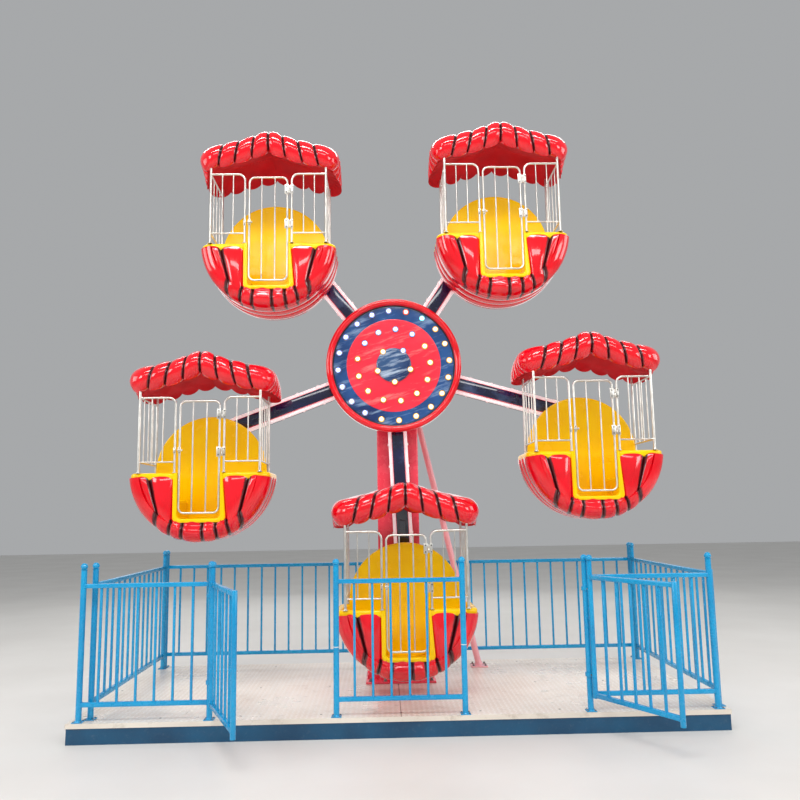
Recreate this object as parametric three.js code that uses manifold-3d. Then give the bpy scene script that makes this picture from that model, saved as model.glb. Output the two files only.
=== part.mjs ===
// A small children's ferris wheel with five level-hanging cabins on a fenced platform.
// Millimetres, +Z up, +X to the right and -Y towards the viewer.
// The origin is on the platform's underside, straight below the wheel's hub.

import * as THREE from 'three';
import { mergeVertices } from 'three/addons/utils/BufferGeometryUtils.js';
import Module from 'manifold-3d';

const wasm = await Module();
wasm.setup();

// Gap that touching pieces keep, and how far a cutting block reaches
const seat = 0.3;
const wide = 3000;

const platform = {
  width: 4920,
  depth: 2170,
  height: 150,
  plate: 8,
  lip: 35,
  lipThickness: 5,
  beam: 60,
  beamInset: 6,
  joists: 9,
};
const deckTop = platform.height;

const fence = {
  frontY: -1040,
  backY: 1040,
  postRadius: 22,
  postHeight: 1150,
  finialRadius: 25,
  finialHeight: 48,
  finialFlare: 8,
  finialShoulder: 34,
  finialShoulderRadius: 20,
  topRail: 980,
  bottomRail: 123,
  rail: 33,
  stileAboveRail: 6,
  picket: 18,
  pitch: 140,
  panel: 960,
  gap: 940,
  sideLeftX: -2320,
  sideRightX: 2420,
  footPlate: 76,
  footThickness: 6,
  footClearance: 2,
};

const gate = {
  stileOffset: 56,
  length: 870,
  stileRadius: 19,
  bottom: 100,
  freeStileBottom: 40,
  bridge: 18,
  leftOpen: 68,
  rightOpen: 118,
  collarHeights: [250, 880],
  collarHeight: 30,
  collarInner: 23.2,
  collarOuter: 30,
};

const wheel = { hubZ: 2980, radius: 1740, turn: 2.3, cabins: 5 };

const column = { width: 380, middleX: 25, frontY: 150, backY: 490, top: 3200, bore: 62 };
const columnFoot = {
  width: 620,
  depth: 560,
  thickness: 16,
  gussetHeight: 220,
  gussetThickness: 12,
  gussetInset: 60,
  gussetToe: 20,
  gussetTip: 15,
  gussetEdge: 10,
};
const bearing = { plate: 220, plateThickness: 20, radius: 88, length: 52, bore: 45.8 };
const axle = { radius: 45, rearY: 572, capRadius: 60, capLength: 18 };
const hub = { radius: 158, frontY: -3, backY: 85 };
const brace = {
  radius: 30,
  top: [180, 530, 2770],
  foot: [798, 765, 162],
  lug: [64, 40, 170],
  plate: [160, 160, 12],
};

const disc = {
  radius: 620,
  ringOuter: 555,
  ringInner: 428,
  capRadius: 155,
  backY: -3.3,
  faceY: -70,
  ringY: -78,
  rimY: -125,
  centreY: -92,
  capY: -112,
};

const arm = { width: 175, frontY: 15, backY: 85, coverWidth: 105, coverFront: -3, overhang: 95, bore: 25.6 };

const cabin = {
  radius: 566,
  frontY: -620,
  backY: -80,
  edgeRound: 80,
  edgeRoundLeast: 20,
  barrelAbove: 200,
  rim: 520,
  shell: 20,
  liner: 26,
  lipTop: 550,
  lipProud: 8,
  doorCutHalf: 210,
  doorCutBottom: 140,
  doorCutCorner: 45,
  openHalf: 178,
  openBottom: 172,
  openCorner: 30,
  cutTop: 900,
  cutBefore: 50,
  floor: 100,
  wellHalf: 205,
  bench: 330,
  backWallY: -146,
  discRadius: 490,
  discCentre: 580,
  discBackY: -128,
  discOverlap: 40,
  pivot: 930,
};

const cage = {
  postX: 500,
  frontY: -614,
  backY: -115,
  postRadius: 11,
  postTop: 1325,
  topRail: 1178,
  lowerRail: 640,
  tube: 18,
  rail: 14,
  bar: 10,
  stileX: 203,
  cornerRadius: 60,
  frontBars: [400, 305],
  sideBars: 3,
  keeperDepth: 12,
  keeperReach: 13,
  keeperHeight: 44,
};

const hanger = {
  halfWidth: 65,
  thickness: 14,
  low: 600,
  high: 1000,
  bossRadius: 46,
  bossEndY: -4.5,
  shaftRadius: 25,
  nutY: 87,
  nutRadius: 40,
  nutEndY: 115,
};

const door = {
  width: 345,
  bottom: 210,
  top: 1155,
  corner: 55,
  tube: 17,
  depth: 16,
  barX: 57,
  hingeX: 186,
  hingeY: -622,
  knuckleRadius: 6.5,
  knuckleHeight: 34,
  hinges: [720, 1034],
  latch: 720,
  latchHeight: 50,
  latchProud: 8,
  latchReach: 10,
  leaf: 4,
};

const canopy = {
  frontY: -672,
  backY: -48,
  roll: 78,
  rollInset: 58,
  lobeEdges: [0, 147, 298, 437],
  topHeights: [1589, 1559, 1505, 1457],
  lipHeights: [1388, 1327, 1293, 1262],
  endX: 610,
  endMiddle: 1350,
  endCurve: { top: 20, fall: 5, side: 10, low: 20, reach: 90, drop: 8 },
  bulge: 16,
  recessHalf: 520,
  recessSideTop: 1335,
  recessMidTop: 1475,
  recessFrontY: -585,
  recessBackY: -135,
  recessFrom: 1150,
};

const paint = {
  red: new THREE.MeshStandardMaterial({ color: 0xd41020, roughness: 0.18, metalness: 0.0 }),
  columnRed: new THREE.MeshStandardMaterial({ color: 0xd8142a, roughness: 0.3, metalness: 0.1 }),
  yellow: new THREE.MeshStandardMaterial({ color: 0xf7b900, roughness: 0.25, metalness: 0.0 }),
  steel: new THREE.MeshStandardMaterial({ color: 0xd6d4d0, roughness: 0.25, metalness: 0.9 }),
  blue: new THREE.MeshStandardMaterial({ color: 0x1890d8, roughness: 0.3, metalness: 0.1 }),
  navy: new THREE.MeshStandardMaterial({ color: 0x10183a, roughness: 0.2, metalness: 0.1 }),
  ring: new THREE.MeshStandardMaterial({ color: 0x1d4a8c, roughness: 0.25, metalness: 0.0 }),
  deck: new THREE.MeshStandardMaterial({ color: 0xd9d3cb, roughness: 0.35, metalness: 0.8 }),
  base: new THREE.MeshStandardMaterial({ color: 0x12405f, roughness: 0.45, metalness: 0.2 }),
  dark: new THREE.MeshStandardMaterial({ color: 0x3a3d42, roughness: 0.4, metalness: 0.7 }),
};

// Twice the signed volume is enough to tell whether a closed mesh points outwards
function pointsInwards(position, index) {
  const [a, b, c] = [new THREE.Vector3(), new THREE.Vector3(), new THREE.Vector3()];
  let sum = 0;
  for (let i = 0; i < index.length; i += 3) {
    a.fromBufferAttribute(position, index[i]);
    b.fromBufferAttribute(position, index[i + 1]);
    c.fromBufferAttribute(position, index[i + 2]);
    sum += a.dot(b.cross(c));
  }
  return sum < 0;
}

// Closed three.js geometry to a solid that can be joined and cut
function solid(geometry) {
  const bare = geometry.clone();
  bare.deleteAttribute('normal');
  bare.deleteAttribute('uv');
  const merged = mergeVertices(bare, 1e-3);
  const index = Uint32Array.from(merged.index.array);
  if (pointsInwards(merged.attributes.position, index)) {
    for (let i = 0; i < index.length; i += 3) {
      [index[i], index[i + 1]] = [index[i + 1], index[i]];
    }
  }
  const vertProperties = Float32Array.from(merged.attributes.position.array);
  return new wasm.Manifold(new wasm.Mesh({ numProp: 3, vertProperties, triVerts: index }));
}

function join(...parts) {
  return parts.reduce((whole, part) => whole.add(part));
}

function cut(whole, ...tools) {
  return tools.reduce((rest, tool) => rest.subtract(tool), whole);
}

function toGeometry(body) {
  const mesh = body.getMesh();
  const geometry = new THREE.BufferGeometry();
  geometry.setAttribute('position', new THREE.BufferAttribute(mesh.vertProperties, 3));
  geometry.setIndex(new THREE.BufferAttribute(mesh.triVerts, 1));
  geometry.computeVertexNormals();
  return geometry;
}

function piece(name, body, material) {
  const mesh = new THREE.Mesh(toGeometry(body), material);
  mesh.name = name;
  return mesh;
}

// A block between two corners
function block(low, high) {
  const size = high.map((value, i) => value - low[i]);
  const middle = high.map((value, i) => (value + low[i]) / 2);
  return solid(new THREE.BoxGeometry(...size).translate(...middle));
}

// Blocks larger than the piece that they cut, above or below a height
function above(height) {
  return block([-wide, -wide, height], [wide, wide, wide]);
}

function below(height) {
  return block([-wide, -wide, -wide], [wide, wide, height]);
}

// A round bar between two points, with a few flat sides
function bar(from, to, radius, sides = 8) {
  const start = new THREE.Vector3(...from);
  const end = new THREE.Vector3(...to);
  const along = end.clone().sub(start);
  const geometry = new THREE.CylinderGeometry(radius, radius, along.length(), sides);
  const turn = new THREE.Quaternion().setFromUnitVectors(new THREE.Vector3(0, 1, 0), along.normalize());
  geometry.applyQuaternion(turn);
  const middle = start.add(end).multiplyScalar(0.5);
  return solid(geometry.translate(middle.x, middle.y, middle.z));
}

// A round drum along Y between two depths
function drum(radius, frontY, backY, sides, x = 0, z = 0) {
  const geometry = new THREE.CylinderGeometry(radius, radius, backY - frontY, sides);
  return solid(geometry.translate(x, (frontY + backY) / 2, z));
}

// An outline drawn in X and Z, extruded from front to back, with its two end edges rounded
function extrudeY(shape, frontY, backY, { round = 0, inset = round, steps = 2, curve = 2 } = {}) {
  const geometry = new THREE.ExtrudeGeometry(shape, {
    depth: backY - frontY - 2 * round,
    bevelEnabled: round > 0,
    bevelThickness: round,
    bevelSize: inset,
    bevelOffset: -inset,
    bevelSegments: steps,
    curveSegments: curve,
  });
  geometry.rotateX(Math.PI / 2);
  return solid(geometry.translate(0, backY - round, 0));
}

// A profile of radius and height turned about the vertical axis
function turned(profile, sides, x = 0, y = 0) {
  const points = profile.map(([radius, height]) => new THREE.Vector2(radius, height));
  const geometry = new THREE.LatheGeometry(points, sides);
  geometry.rotateX(Math.PI / 2);
  return solid(geometry.translate(x, y, 0));
}

// A profile of radius and depth turned about the wheel's axis
function turnedAboutY(profile, sides) {
  const points = profile.map(([radius, depth]) => new THREE.Vector2(radius, depth));
  return solid(new THREE.LatheGeometry(points, sides));
}

// The platform's steel frame: four outer beams and joists, open between them
function platformFrame() {
  const halfX = platform.width / 2 - platform.beamInset;
  const halfY = platform.depth / 2 - platform.beamInset;
  const top = platform.height - platform.plate - seat;
  const outer = block([-halfX, -halfY, 0], [halfX, halfY, top]);
  const bay = (2 * halfX - platform.beam) / (platform.joists + 1);
  const bays = [];
  for (let i = 0; i <= platform.joists; i += 1) {
    const left = -halfX + platform.beam + i * bay;
    const right = left + bay - platform.beam;
    bays.push(block([left, -halfY + platform.beam, -1], [right, halfY - platform.beam, top + 1]));
  }
  return cut(outer, ...bays);
}

// The tread plate with its folded edge
function deckPlate() {
  const halfX = platform.width / 2;
  const halfY = platform.depth / 2;
  const edge = platform.lipThickness;
  const under = platform.height - platform.plate;
  const whole = block([-halfX, -halfY, platform.height - platform.lip], [halfX, halfY, platform.height]);
  const inside = block([-halfX + edge, -halfY + edge, 0], [halfX - edge, halfY - edge, under]);
  return cut(whole, inside);
}

// A fence post that stands on the deck, with its domed finial
function fencePost(x, radius = fence.postRadius, bottom = 0, withFoot = true) {
  const neck = fence.postHeight - fence.finialHeight;
  const post = turned([
    [0, bottom],
    [radius, bottom],
    [radius, neck],
    [fence.finialRadius, neck + fence.finialFlare],
    [fence.finialShoulderRadius, neck + fence.finialShoulder],
    [0, fence.postHeight],
  ], 8, x);
  if (!withFoot) {
    return post;
  }
  const half = fence.footPlate / 2;
  return join(post, block([x - half, -half, bottom], [x + half, half, bottom + fence.footThickness]));
}

function pickets(from, to, count) {
  const half = fence.picket / 2;
  const list = [];
  for (let i = 1; i <= count; i += 1) {
    const x = from + ((to - from) * i) / (count + 1);
    list.push(block([x - half, -half, fence.bottomRail], [x + half, half, fence.topRail]));
  }
  return list;
}

function rails(from, to) {
  const half = fence.rail / 2;
  return [fence.topRail, fence.bottomRail].map((z) => block([from, -half, z - half], [to, half, z + half]));
}

// One straight fence panel along X, from the axis of one end post to the other
function fencePanel(length) {
  const count = Math.round(length / fence.pitch) - 1;
  return join(fencePost(0), fencePost(length), ...rails(0, length), ...pickets(0, length, count));
}

// The right side panel's front stile has no finial, and its top stops above the rail
function sidePanelWithLowStile(length) {
  const count = Math.round(length / fence.pitch) - 1;
  const half = fence.footPlate / 2;
  const stile = bar([0, 0, 0], [0, 0, fence.topRail + fence.rail / 2 + fence.stileAboveRail], fence.postRadius);
  const foot = block([-half, -half, 0], [half, half, fence.footThickness]);
  return join(stile, foot, fencePost(length), ...rails(0, length), ...pickets(0, length, count));
}

// A gate along X: it turns on two collars round the post at X = 0
function gatePanel() {
  const hingeStile = fencePost(gate.stileOffset, gate.stileRadius, gate.bottom, false);
  const freeTop = fence.topRail + fence.rail / 2 + fence.stileAboveRail;
  const freeStile = bar([gate.length, 0, gate.freeStileBottom], [gate.length, 0, freeTop], gate.stileRadius);
  const count = Math.round((gate.length - gate.stileOffset) / fence.pitch) - 1;
  const half = gate.bridge / 2;
  const collars = gate.collarHeights.map((z) => {
    const ring = bar([0, 0, z], [0, 0, z + gate.collarHeight], gate.collarOuter, 12);
    const bridge = block([gate.collarInner, -half, z], [gate.stileOffset, half, z + gate.collarHeight]);
    const bore = bar([0, 0, z - 1], [0, 0, z + gate.collarHeight + 1], gate.collarInner, 12);
    return cut(join(ring, bridge), bore);
  });
  return join(
    hingeStile,
    freeStile,
    ...collars,
    ...rails(gate.stileOffset, gate.length),
    ...pickets(gate.stileOffset, gate.length, count),
  );
}

// The red box column, bored through for the axle
function columnBody() {
  const half = column.width / 2;
  const shaft = block(
    [column.middleX - half, column.frontY, deckTop + columnFoot.thickness + 2 * seat],
    [column.middleX + half, column.backY, column.top],
  );
  return cut(shaft, drum(column.bore, column.frontY - 10, column.backY + 10, 16, 0, wheel.hubZ));
}

// Foot plate with a gusset on each side of the column
function columnFootBody() {
  const middleY = (column.frontY + column.backY) / 2;
  const halfX = columnFoot.width / 2;
  const halfY = columnFoot.depth / 2;
  const low = deckTop + seat;
  const high = low + columnFoot.thickness;
  const plate = block(
    [column.middleX - halfX, middleY - halfY, low],
    [column.middleX + halfX, middleY + halfY, high],
  );
  const inner = column.width / 2 + seat;
  const depths = [column.frontY + columnFoot.gussetInset, column.backY - columnFoot.gussetInset];
  const gussets = [-1, 1].flatMap((side) => depths.map((y) => {
    const shape = new THREE.Shape([
      new THREE.Vector2(side * inner, high - 1),
      new THREE.Vector2(side * (halfX - columnFoot.gussetEdge), high - 1),
      new THREE.Vector2(side * (halfX - columnFoot.gussetEdge), high + columnFoot.gussetToe),
      new THREE.Vector2(side * (inner + columnFoot.gussetTip), high + columnFoot.gussetHeight),
      new THREE.Vector2(side * inner, high + columnFoot.gussetHeight),
    ]);
    const half = columnFoot.gussetThickness / 2;
    return extrudeY(shape, y - half, y + half).translate([column.middleX, 0, 0]);
  }));
  return join(plate, ...gussets);
}

// A flanged bearing on the column's front or rear face
function bearingBody(faceY, towards) {
  const half = bearing.plate / 2;
  const near = faceY + towards * seat;
  const plateEnd = near + towards * bearing.plateThickness;
  const noseEnd = near + towards * bearing.length;
  const plate = block(
    [-half, Math.min(near, plateEnd), wheel.hubZ - half],
    [half, Math.max(near, plateEnd), wheel.hubZ + half],
  );
  const nose = drum(bearing.radius, Math.min(near, noseEnd), Math.max(near, noseEnd), 16, 0, wheel.hubZ);
  return cut(join(plate, nose), drum(bearing.bore, faceY - 80, faceY + 80, 24, 0, wheel.hubZ));
}

// The slanting stay behind the column, from a lug near its top to a plate on the deck
function braceBody() {
  const [lugX, lugY, lugZ] = brace.lug;
  const lug = block(
    [brace.top[0] - lugX / 2, column.backY + seat, brace.top[2] - lugZ / 2],
    [brace.top[0] + lugX / 2, column.backY + seat + lugY, brace.top[2] + lugZ / 2],
  );
  const [plateX, plateY, plateZ] = brace.plate;
  const low = deckTop + seat;
  const plate = block(
    [brace.foot[0] - plateX / 2, brace.foot[1] - plateY / 2, low],
    [brace.foot[0] + plateX / 2, brace.foot[1] + plateY / 2, low + plateZ],
  );
  const tube = cut(bar(brace.top, brace.foot, brace.radius, 12), below(low));
  return join(lug, plate, tube);
}

// The hub drum that carries the arms, with the axle behind it
function hubBody() {
  const sides = 20;
  const drumBody = drum(hub.radius, hub.frontY, hub.backY, sides);
  const shaft = drum(axle.radius, hub.backY - 10, axle.rearY, 24);
  const cap = drum(axle.capRadius, axle.rearY - axle.capLength, axle.rearY, 16);
  return join(drumBody, shaft, cap);
}

// Lamp disc: a dish with a round rim, a recess for the lamp ring and a raised red middle
function dishBody() {
  const rimMiddle = (disc.radius + disc.ringOuter) / 2;
  return turnedAboutY([
    [0, disc.backY],
    [disc.radius - 40, disc.backY],
    [disc.radius - 8, disc.backY - 22],
    [disc.radius, disc.faceY],
    [disc.radius - 12, disc.rimY + 16],
    [rimMiddle, disc.rimY],
    [disc.ringOuter, disc.rimY + 20],
    [disc.ringOuter, disc.faceY],
    [disc.ringInner, disc.faceY],
    [disc.ringInner, disc.centreY],
    [0, disc.centreY],
  ], 36);
}

function lampRingBody() {
  return turnedAboutY([
    [disc.ringInner + seat, disc.faceY - seat],
    [disc.ringOuter - 2 * seat, disc.faceY - seat],
    [disc.ringOuter - 2 * seat, disc.ringY],
    [disc.ringInner + 2 * seat, disc.ringY],
    [disc.ringInner + seat, disc.faceY - seat],
  ], 36);
}

function capBody() {
  return turnedAboutY([
    [0, disc.centreY - seat],
    [disc.capRadius, disc.centreY - seat],
    [disc.capRadius, disc.capY + 8],
    [disc.capRadius - 20, disc.capY],
    [0, disc.capY],
  ], 24);
}

// One arm, drawn pointing along +X from the hub, with a raised cover along its front
function armBody() {
  const start = hub.radius + seat;
  const end = wheel.radius + arm.overhang;
  const half = arm.width / 2;
  const halfCover = arm.coverWidth / 2;
  const beam = block([start, arm.frontY, -half], [end, arm.backY, half]);
  const cover = block([start, arm.coverFront, -halfCover], [end, arm.frontY + 1, halfCover]);
  return cut(join(beam, cover), drum(arm.bore, arm.coverFront - 5, arm.backY + 5, 24, wheel.radius, 0));
}

// The half barrel that all the tub's surfaces follow, inset from its outer skin
function barrel(inset, segments = 10) {
  const radius = cabin.radius - inset;
  const centre = cabin.radius;
  const top = centre + cabin.barrelAbove;
  const shape = new THREE.Shape();
  shape.moveTo(-radius, top);
  shape.lineTo(-radius, centre);
  shape.absarc(0, centre, radius, Math.PI, 2 * Math.PI, false);
  shape.lineTo(radius, top);
  const round = Math.max(cabin.edgeRound - inset, cabin.edgeRoundLeast);
  return extrudeY(shape, cabin.frontY + inset, cabin.backY - inset, { round, curve: segments });
}

// U-shaped outline of the doorway, open at the top
function doorwayShape(half, bottom, corner) {
  const top = cabin.cutTop;
  const shape = new THREE.Shape();
  shape.moveTo(-half, top);
  shape.lineTo(-half, bottom + corner);
  shape.absarc(-half + corner, bottom + corner, corner, Math.PI, 1.5 * Math.PI, false);
  shape.absarc(half - corner, bottom + corner, corner, 1.5 * Math.PI, 2 * Math.PI, false);
  shape.lineTo(half, top);
  return shape;
}

// The red outer tub with the doorway cut out of its front
function bowlBody() {
  const doorway = extrudeY(
    doorwayShape(cabin.doorCutHalf, cabin.doorCutBottom, cabin.doorCutCorner),
    cabin.frontY - cabin.cutBefore,
    cabin.frontY + cabin.edgeRound + cabin.shell,
  );
  return cut(barrel(0), barrel(cabin.shell), above(cabin.rim), doorway);
}

// The yellow inner tub: rim, doorway frame, foot well, two benches and the round back
function linerBody() {
  const outside = cabin.shell + seat;
  const inside = cabin.shell + cabin.liner;
  const tub = cut(barrel(outside), above(cabin.rim + 1));
  const lip = cut(barrel(-cabin.lipProud), above(cabin.lipTop), below(cabin.rim + seat));
  const backBlock = block([-wide, cabin.backWallY, -wide], [wide, wide, wide]);
  const seatSpace = cut(barrel(inside), below(cabin.bench), backBlock);
  const well = block(
    [-cabin.wellHalf, cabin.frontY + inside, cabin.floor],
    [cabin.wellHalf, cabin.backWallY, cabin.bench + 1],
  );
  const doorway = extrudeY(
    doorwayShape(cabin.openHalf, cabin.openBottom, cabin.openCorner),
    cabin.frontY - cabin.cutBefore,
    cabin.frontY + inside + 1,
  );
  const back = drum(cabin.discRadius, cabin.backWallY, cabin.discBackY, 28, 0, cabin.discCentre);
  const upperBack = cut(back, below(cabin.rim - cabin.discOverlap));
  return join(cut(join(tub, lip), seatSpace, well, doorway), upperBack);
}

// A square tube that follows a flat line in the X-Z plane, centred on one depth
function flatTube(path, width, middleY, divisions = 2) {
  const line = path.getPoints(divisions);
  const left = [];
  const right = [];
  line.forEach((point, i) => {
    const before = line[Math.max(i - 1, 0)];
    const after = line[Math.min(i + 1, line.length - 1)];
    const into = point.clone().sub(before).normalize();
    const out = after.clone().sub(point).normalize();
    const along = into.add(out).normalize();
    const next = i === 0 ? after.clone().sub(point).normalize() : point.clone().sub(before).normalize();
    const mitre = 1 / Math.max(along.dot(next), 0.5);
    const offset = new THREE.Vector2(-along.y, along.x).multiplyScalar((width / 2) * mitre);
    left.push(point.clone().add(offset));
    right.unshift(point.clone().sub(offset));
  });
  return extrudeY(new THREE.Shape([...left, ...right]), middleY - width / 2, middleY + width / 2);
}

// Front cage panel on one side of the door, its upper inner corner rounded
function frontPanel(side) {
  const corner = cage.cornerRadius;
  const path = new THREE.Path();
  path.moveTo(-cage.postX, cage.topRail);
  path.lineTo(-cage.stileX - corner, cage.topRail);
  path.absarc(-cage.stileX - corner, cage.topRail - corner, corner, Math.PI / 2, 0, true);
  path.lineTo(-cage.stileX, cabin.lipTop + seat);
  const outline = flatTube(path, cage.tube, cage.frontY);
  const half = cage.bar / 2;
  const halfRail = cage.rail / 2;
  const rail = block(
    [-cage.postX, cage.frontY - halfRail, cage.lowerRail - halfRail],
    [-cage.stileX, cage.frontY + halfRail, cage.lowerRail + halfRail],
  );
  const bars = cage.frontBars.map((x) => block(
    [-x - half, cage.frontY - half, cage.lowerRail],
    [-x + half, cage.frontY + half, cage.topRail],
  ));
  const panel = join(outline, rail, ...bars);
  return side < 0 ? panel : panel.mirror([1, 0, 0]);
}

// Side cage panel between the front and the rear post
function sidePanel(side) {
  const x = side * cage.postX;
  const halfRail = cage.rail / 2;
  const rail = (z) => block(
    [x - halfRail, cage.frontY, z - halfRail],
    [x + halfRail, cage.backY, z + halfRail],
  );
  const half = cage.bar / 2;
  const bars = [];
  for (let i = 1; i <= cage.sideBars; i += 1) {
    const y = cage.frontY + ((cage.backY - cage.frontY) * i) / (cage.sideBars + 1);
    bars.push(block([x - half, y - half, cage.lowerRail], [x + half, y + half, cage.topRail]));
  }
  return join(rail(cage.topRail), rail(cage.lowerRail), ...bars);
}

function cagePost(x, y, radius = cage.postRadius, bottom = cabin.lipTop + seat, top = cage.postTop) {
  return bar([x, y, bottom], [x, y, top], radius, 6);
}

const postPlaces = [-1, 1].flatMap((side) => [cage.frontY, cage.backY].map((y) => [side * cage.postX, y]));

// Hinge halves fixed to the cage, one under each knuckle of the door
function fixedKnuckles() {
  return door.hinges.map((z) => {
    const top = z - 0.5;
    const low = top - door.knuckleHeight;
    const knuckle = bar([door.hingeX, door.hingeY, low], [door.hingeX, door.hingeY, top], door.knuckleRadius);
    const leaf = block(
      [door.hingeX, door.hingeY - door.leaf, low],
      [cage.stileX, door.hingeY + 2 * door.leaf, top],
    );
    return join(knuckle, leaf);
  });
}

// Steel cage with its hanger: plate, boss and the shaft that turns in the arm's end
function frameBody() {
  const z = cabin.pivot;
  const plateY = cabin.discBackY + 2;
  const plate = block(
    [-hanger.halfWidth, plateY, hanger.low],
    [hanger.halfWidth, plateY + hanger.thickness, hanger.high],
  );
  const boss = drum(hanger.bossRadius, plateY, hanger.bossEndY, 12, 0, z);
  const shaft = drum(hanger.shaftRadius, hanger.bossEndY - 5, hanger.nutEndY, 12, 0, z);
  const nut = drum(hanger.nutRadius, hanger.nutY, hanger.nutEndY, 12, 0, z);
  const halfRail = cage.rail / 2;
  const rearRail = block(
    [-cage.postX, cage.backY - halfRail, cage.lowerRail - halfRail],
    [cage.postX, cage.backY + halfRail, cage.lowerRail + halfRail],
  );
  const keeper = block(
    [-cage.stileX - cage.tube / 2, cage.frontY - cage.keeperDepth, door.latch - cage.keeperHeight / 2],
    [-cage.stileX + cage.keeperReach, cage.frontY, door.latch + cage.keeperHeight / 2],
  );
  return join(
    ...postPlaces.map(([x, y]) => cagePost(x, y)),
    frontPanel(-1),
    frontPanel(1),
    sidePanel(-1),
    sidePanel(1),
    rearRail,
    plate,
    boss,
    shaft,
    nut,
    keeper,
    ...fixedKnuckles(),
  );
}

function roundedRectangle(halfWidth, low, high, corner) {
  const shape = new THREE.Shape();
  shape.moveTo(-halfWidth, low + corner);
  shape.absarc(-halfWidth + corner, low + corner, corner, Math.PI, 1.5 * Math.PI, false);
  shape.absarc(halfWidth - corner, low + corner, corner, 1.5 * Math.PI, 2 * Math.PI, false);
  shape.absarc(halfWidth - corner, high - corner, corner, 0, 0.5 * Math.PI, false);
  shape.absarc(-halfWidth + corner, high - corner, corner, 0.5 * Math.PI, Math.PI, false);
  return shape;
}

// The door: a round-cornered tube frame with two bars, hinge knuckles and a latch
function doorBody() {
  const half = door.width / 2;
  const outline = roundedRectangle(half, door.bottom, door.top, door.corner);
  outline.holes.push(roundedRectangle(
    half - door.tube,
    door.bottom + door.tube,
    door.top - door.tube,
    door.corner - door.tube,
  ));
  const frame = extrudeY(outline, cage.frontY - door.depth / 2, cage.frontY + door.depth / 2);
  const halfBar = cage.bar / 2;
  const bars = [-1, 1].map((side) => block(
    [side * door.barX - halfBar, cage.frontY - halfBar, door.bottom + 5],
    [side * door.barX + halfBar, cage.frontY + halfBar, door.top - 5],
  ));
  const knuckles = door.hinges.map((z) => join(
    bar([door.hingeX, door.hingeY, z], [door.hingeX, door.hingeY, z + door.knuckleHeight], door.knuckleRadius),
    block(
      [half - door.tube, door.hingeY - door.leaf, z],
      [door.hingeX, door.hingeY + door.leaf, z + door.knuckleHeight],
    ),
  ));
  const halfLatch = door.latchHeight / 2;
  const latch = block(
    [-half - door.latchReach, cage.frontY - door.depth / 2 - door.latchProud, door.latch - halfLatch],
    [-half + door.tube, cage.frontY, door.latch + halfLatch],
  );
  return join(frame, ...bars, ...knuckles, latch);
}

// Half of the canopy's lobed outline, as points and bulges from the middle to the end
function canopyShape() {
  const edges = canopy.lobeEdges;
  const tops = canopy.topHeights;
  const lips = canopy.lipHeights;
  const last = edges.length - 1;
  const end = canopy.endCurve;
  const shape = new THREE.Shape();
  const lobe = (x1, z1, x2, z2, bulge) => {
    shape.quadraticCurveTo((x1 + x2) / 2, (z1 + z2) / 2 + 2 * bulge, x2, z2);
  };
  shape.moveTo(0, tops[0]);
  for (let i = 0; i < last; i += 1) {
    lobe(edges[i], tops[i], edges[i + 1], tops[i + 1], canopy.bulge);
  }
  shape.quadraticCurveTo(canopy.endX - end.top, tops[last] - end.fall, canopy.endX, canopy.endMiddle);
  const lipEnd = edges[last] + end.reach;
  shape.quadraticCurveTo(canopy.endX - end.side, lips[last] - end.low, lipEnd, lips[last] - end.drop);
  shape.lineTo(edges[last], lips[last]);
  for (let i = last; i > 0; i -= 1) {
    shape.lineTo(edges[i - 1], lips[i - 1]);
  }
  for (let i = 1; i <= last; i += 1) {
    shape.lineTo(-edges[i], lips[i]);
  }
  shape.lineTo(-lipEnd, lips[last] - end.drop);
  shape.quadraticCurveTo(-canopy.endX + end.side, lips[last] - end.low, -canopy.endX, canopy.endMiddle);
  shape.quadraticCurveTo(-canopy.endX + end.top, tops[last] - end.fall, -edges[last], tops[last]);
  for (let i = last; i > 0; i -= 1) {
    lobe(-edges[i], tops[i], -edges[i - 1], tops[i - 1], canopy.bulge);
  }
  return shape;
}

// The canopy: a lobed roof with a fat rolled edge, hollow underneath
function canopyBody() {
  const roof = extrudeY(canopyShape(), canopy.frontY, canopy.backY, {
    round: canopy.roll,
    inset: canopy.rollInset,
    steps: 2,
    curve: 3,
  });
  const recess = new THREE.Shape([
    new THREE.Vector2(-canopy.recessHalf, canopy.recessFrom),
    new THREE.Vector2(canopy.recessHalf, canopy.recessFrom),
    new THREE.Vector2(canopy.recessHalf, canopy.recessSideTop),
    new THREE.Vector2(0, canopy.recessMidTop),
    new THREE.Vector2(-canopy.recessHalf, canopy.recessSideTop),
  ]);
  const socket = cage.postRadius + 0.5;
  const sockets = postPlaces.map(([x, y]) => cagePost(x, y, socket, canopy.recessFrom, cage.postTop + seat));
  return cut(roof, extrudeY(recess, canopy.recessFrontY, canopy.recessBackY), ...sockets);
}

function buildCabin(number) {
  const group = new THREE.Group();
  group.add(piece(`cabin_${number}_bowl`, bowlBody(), paint.red));
  group.add(piece(`cabin_${number}_liner`, linerBody(), paint.yellow));
  group.add(piece(`cabin_${number}_frame`, frameBody(), paint.steel));
  group.add(piece(`cabin_${number}_door`, doorBody(), paint.steel));
  group.add(piece(`cabin_${number}_canopy`, canopyBody(), paint.red));
  return group;
}

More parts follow.
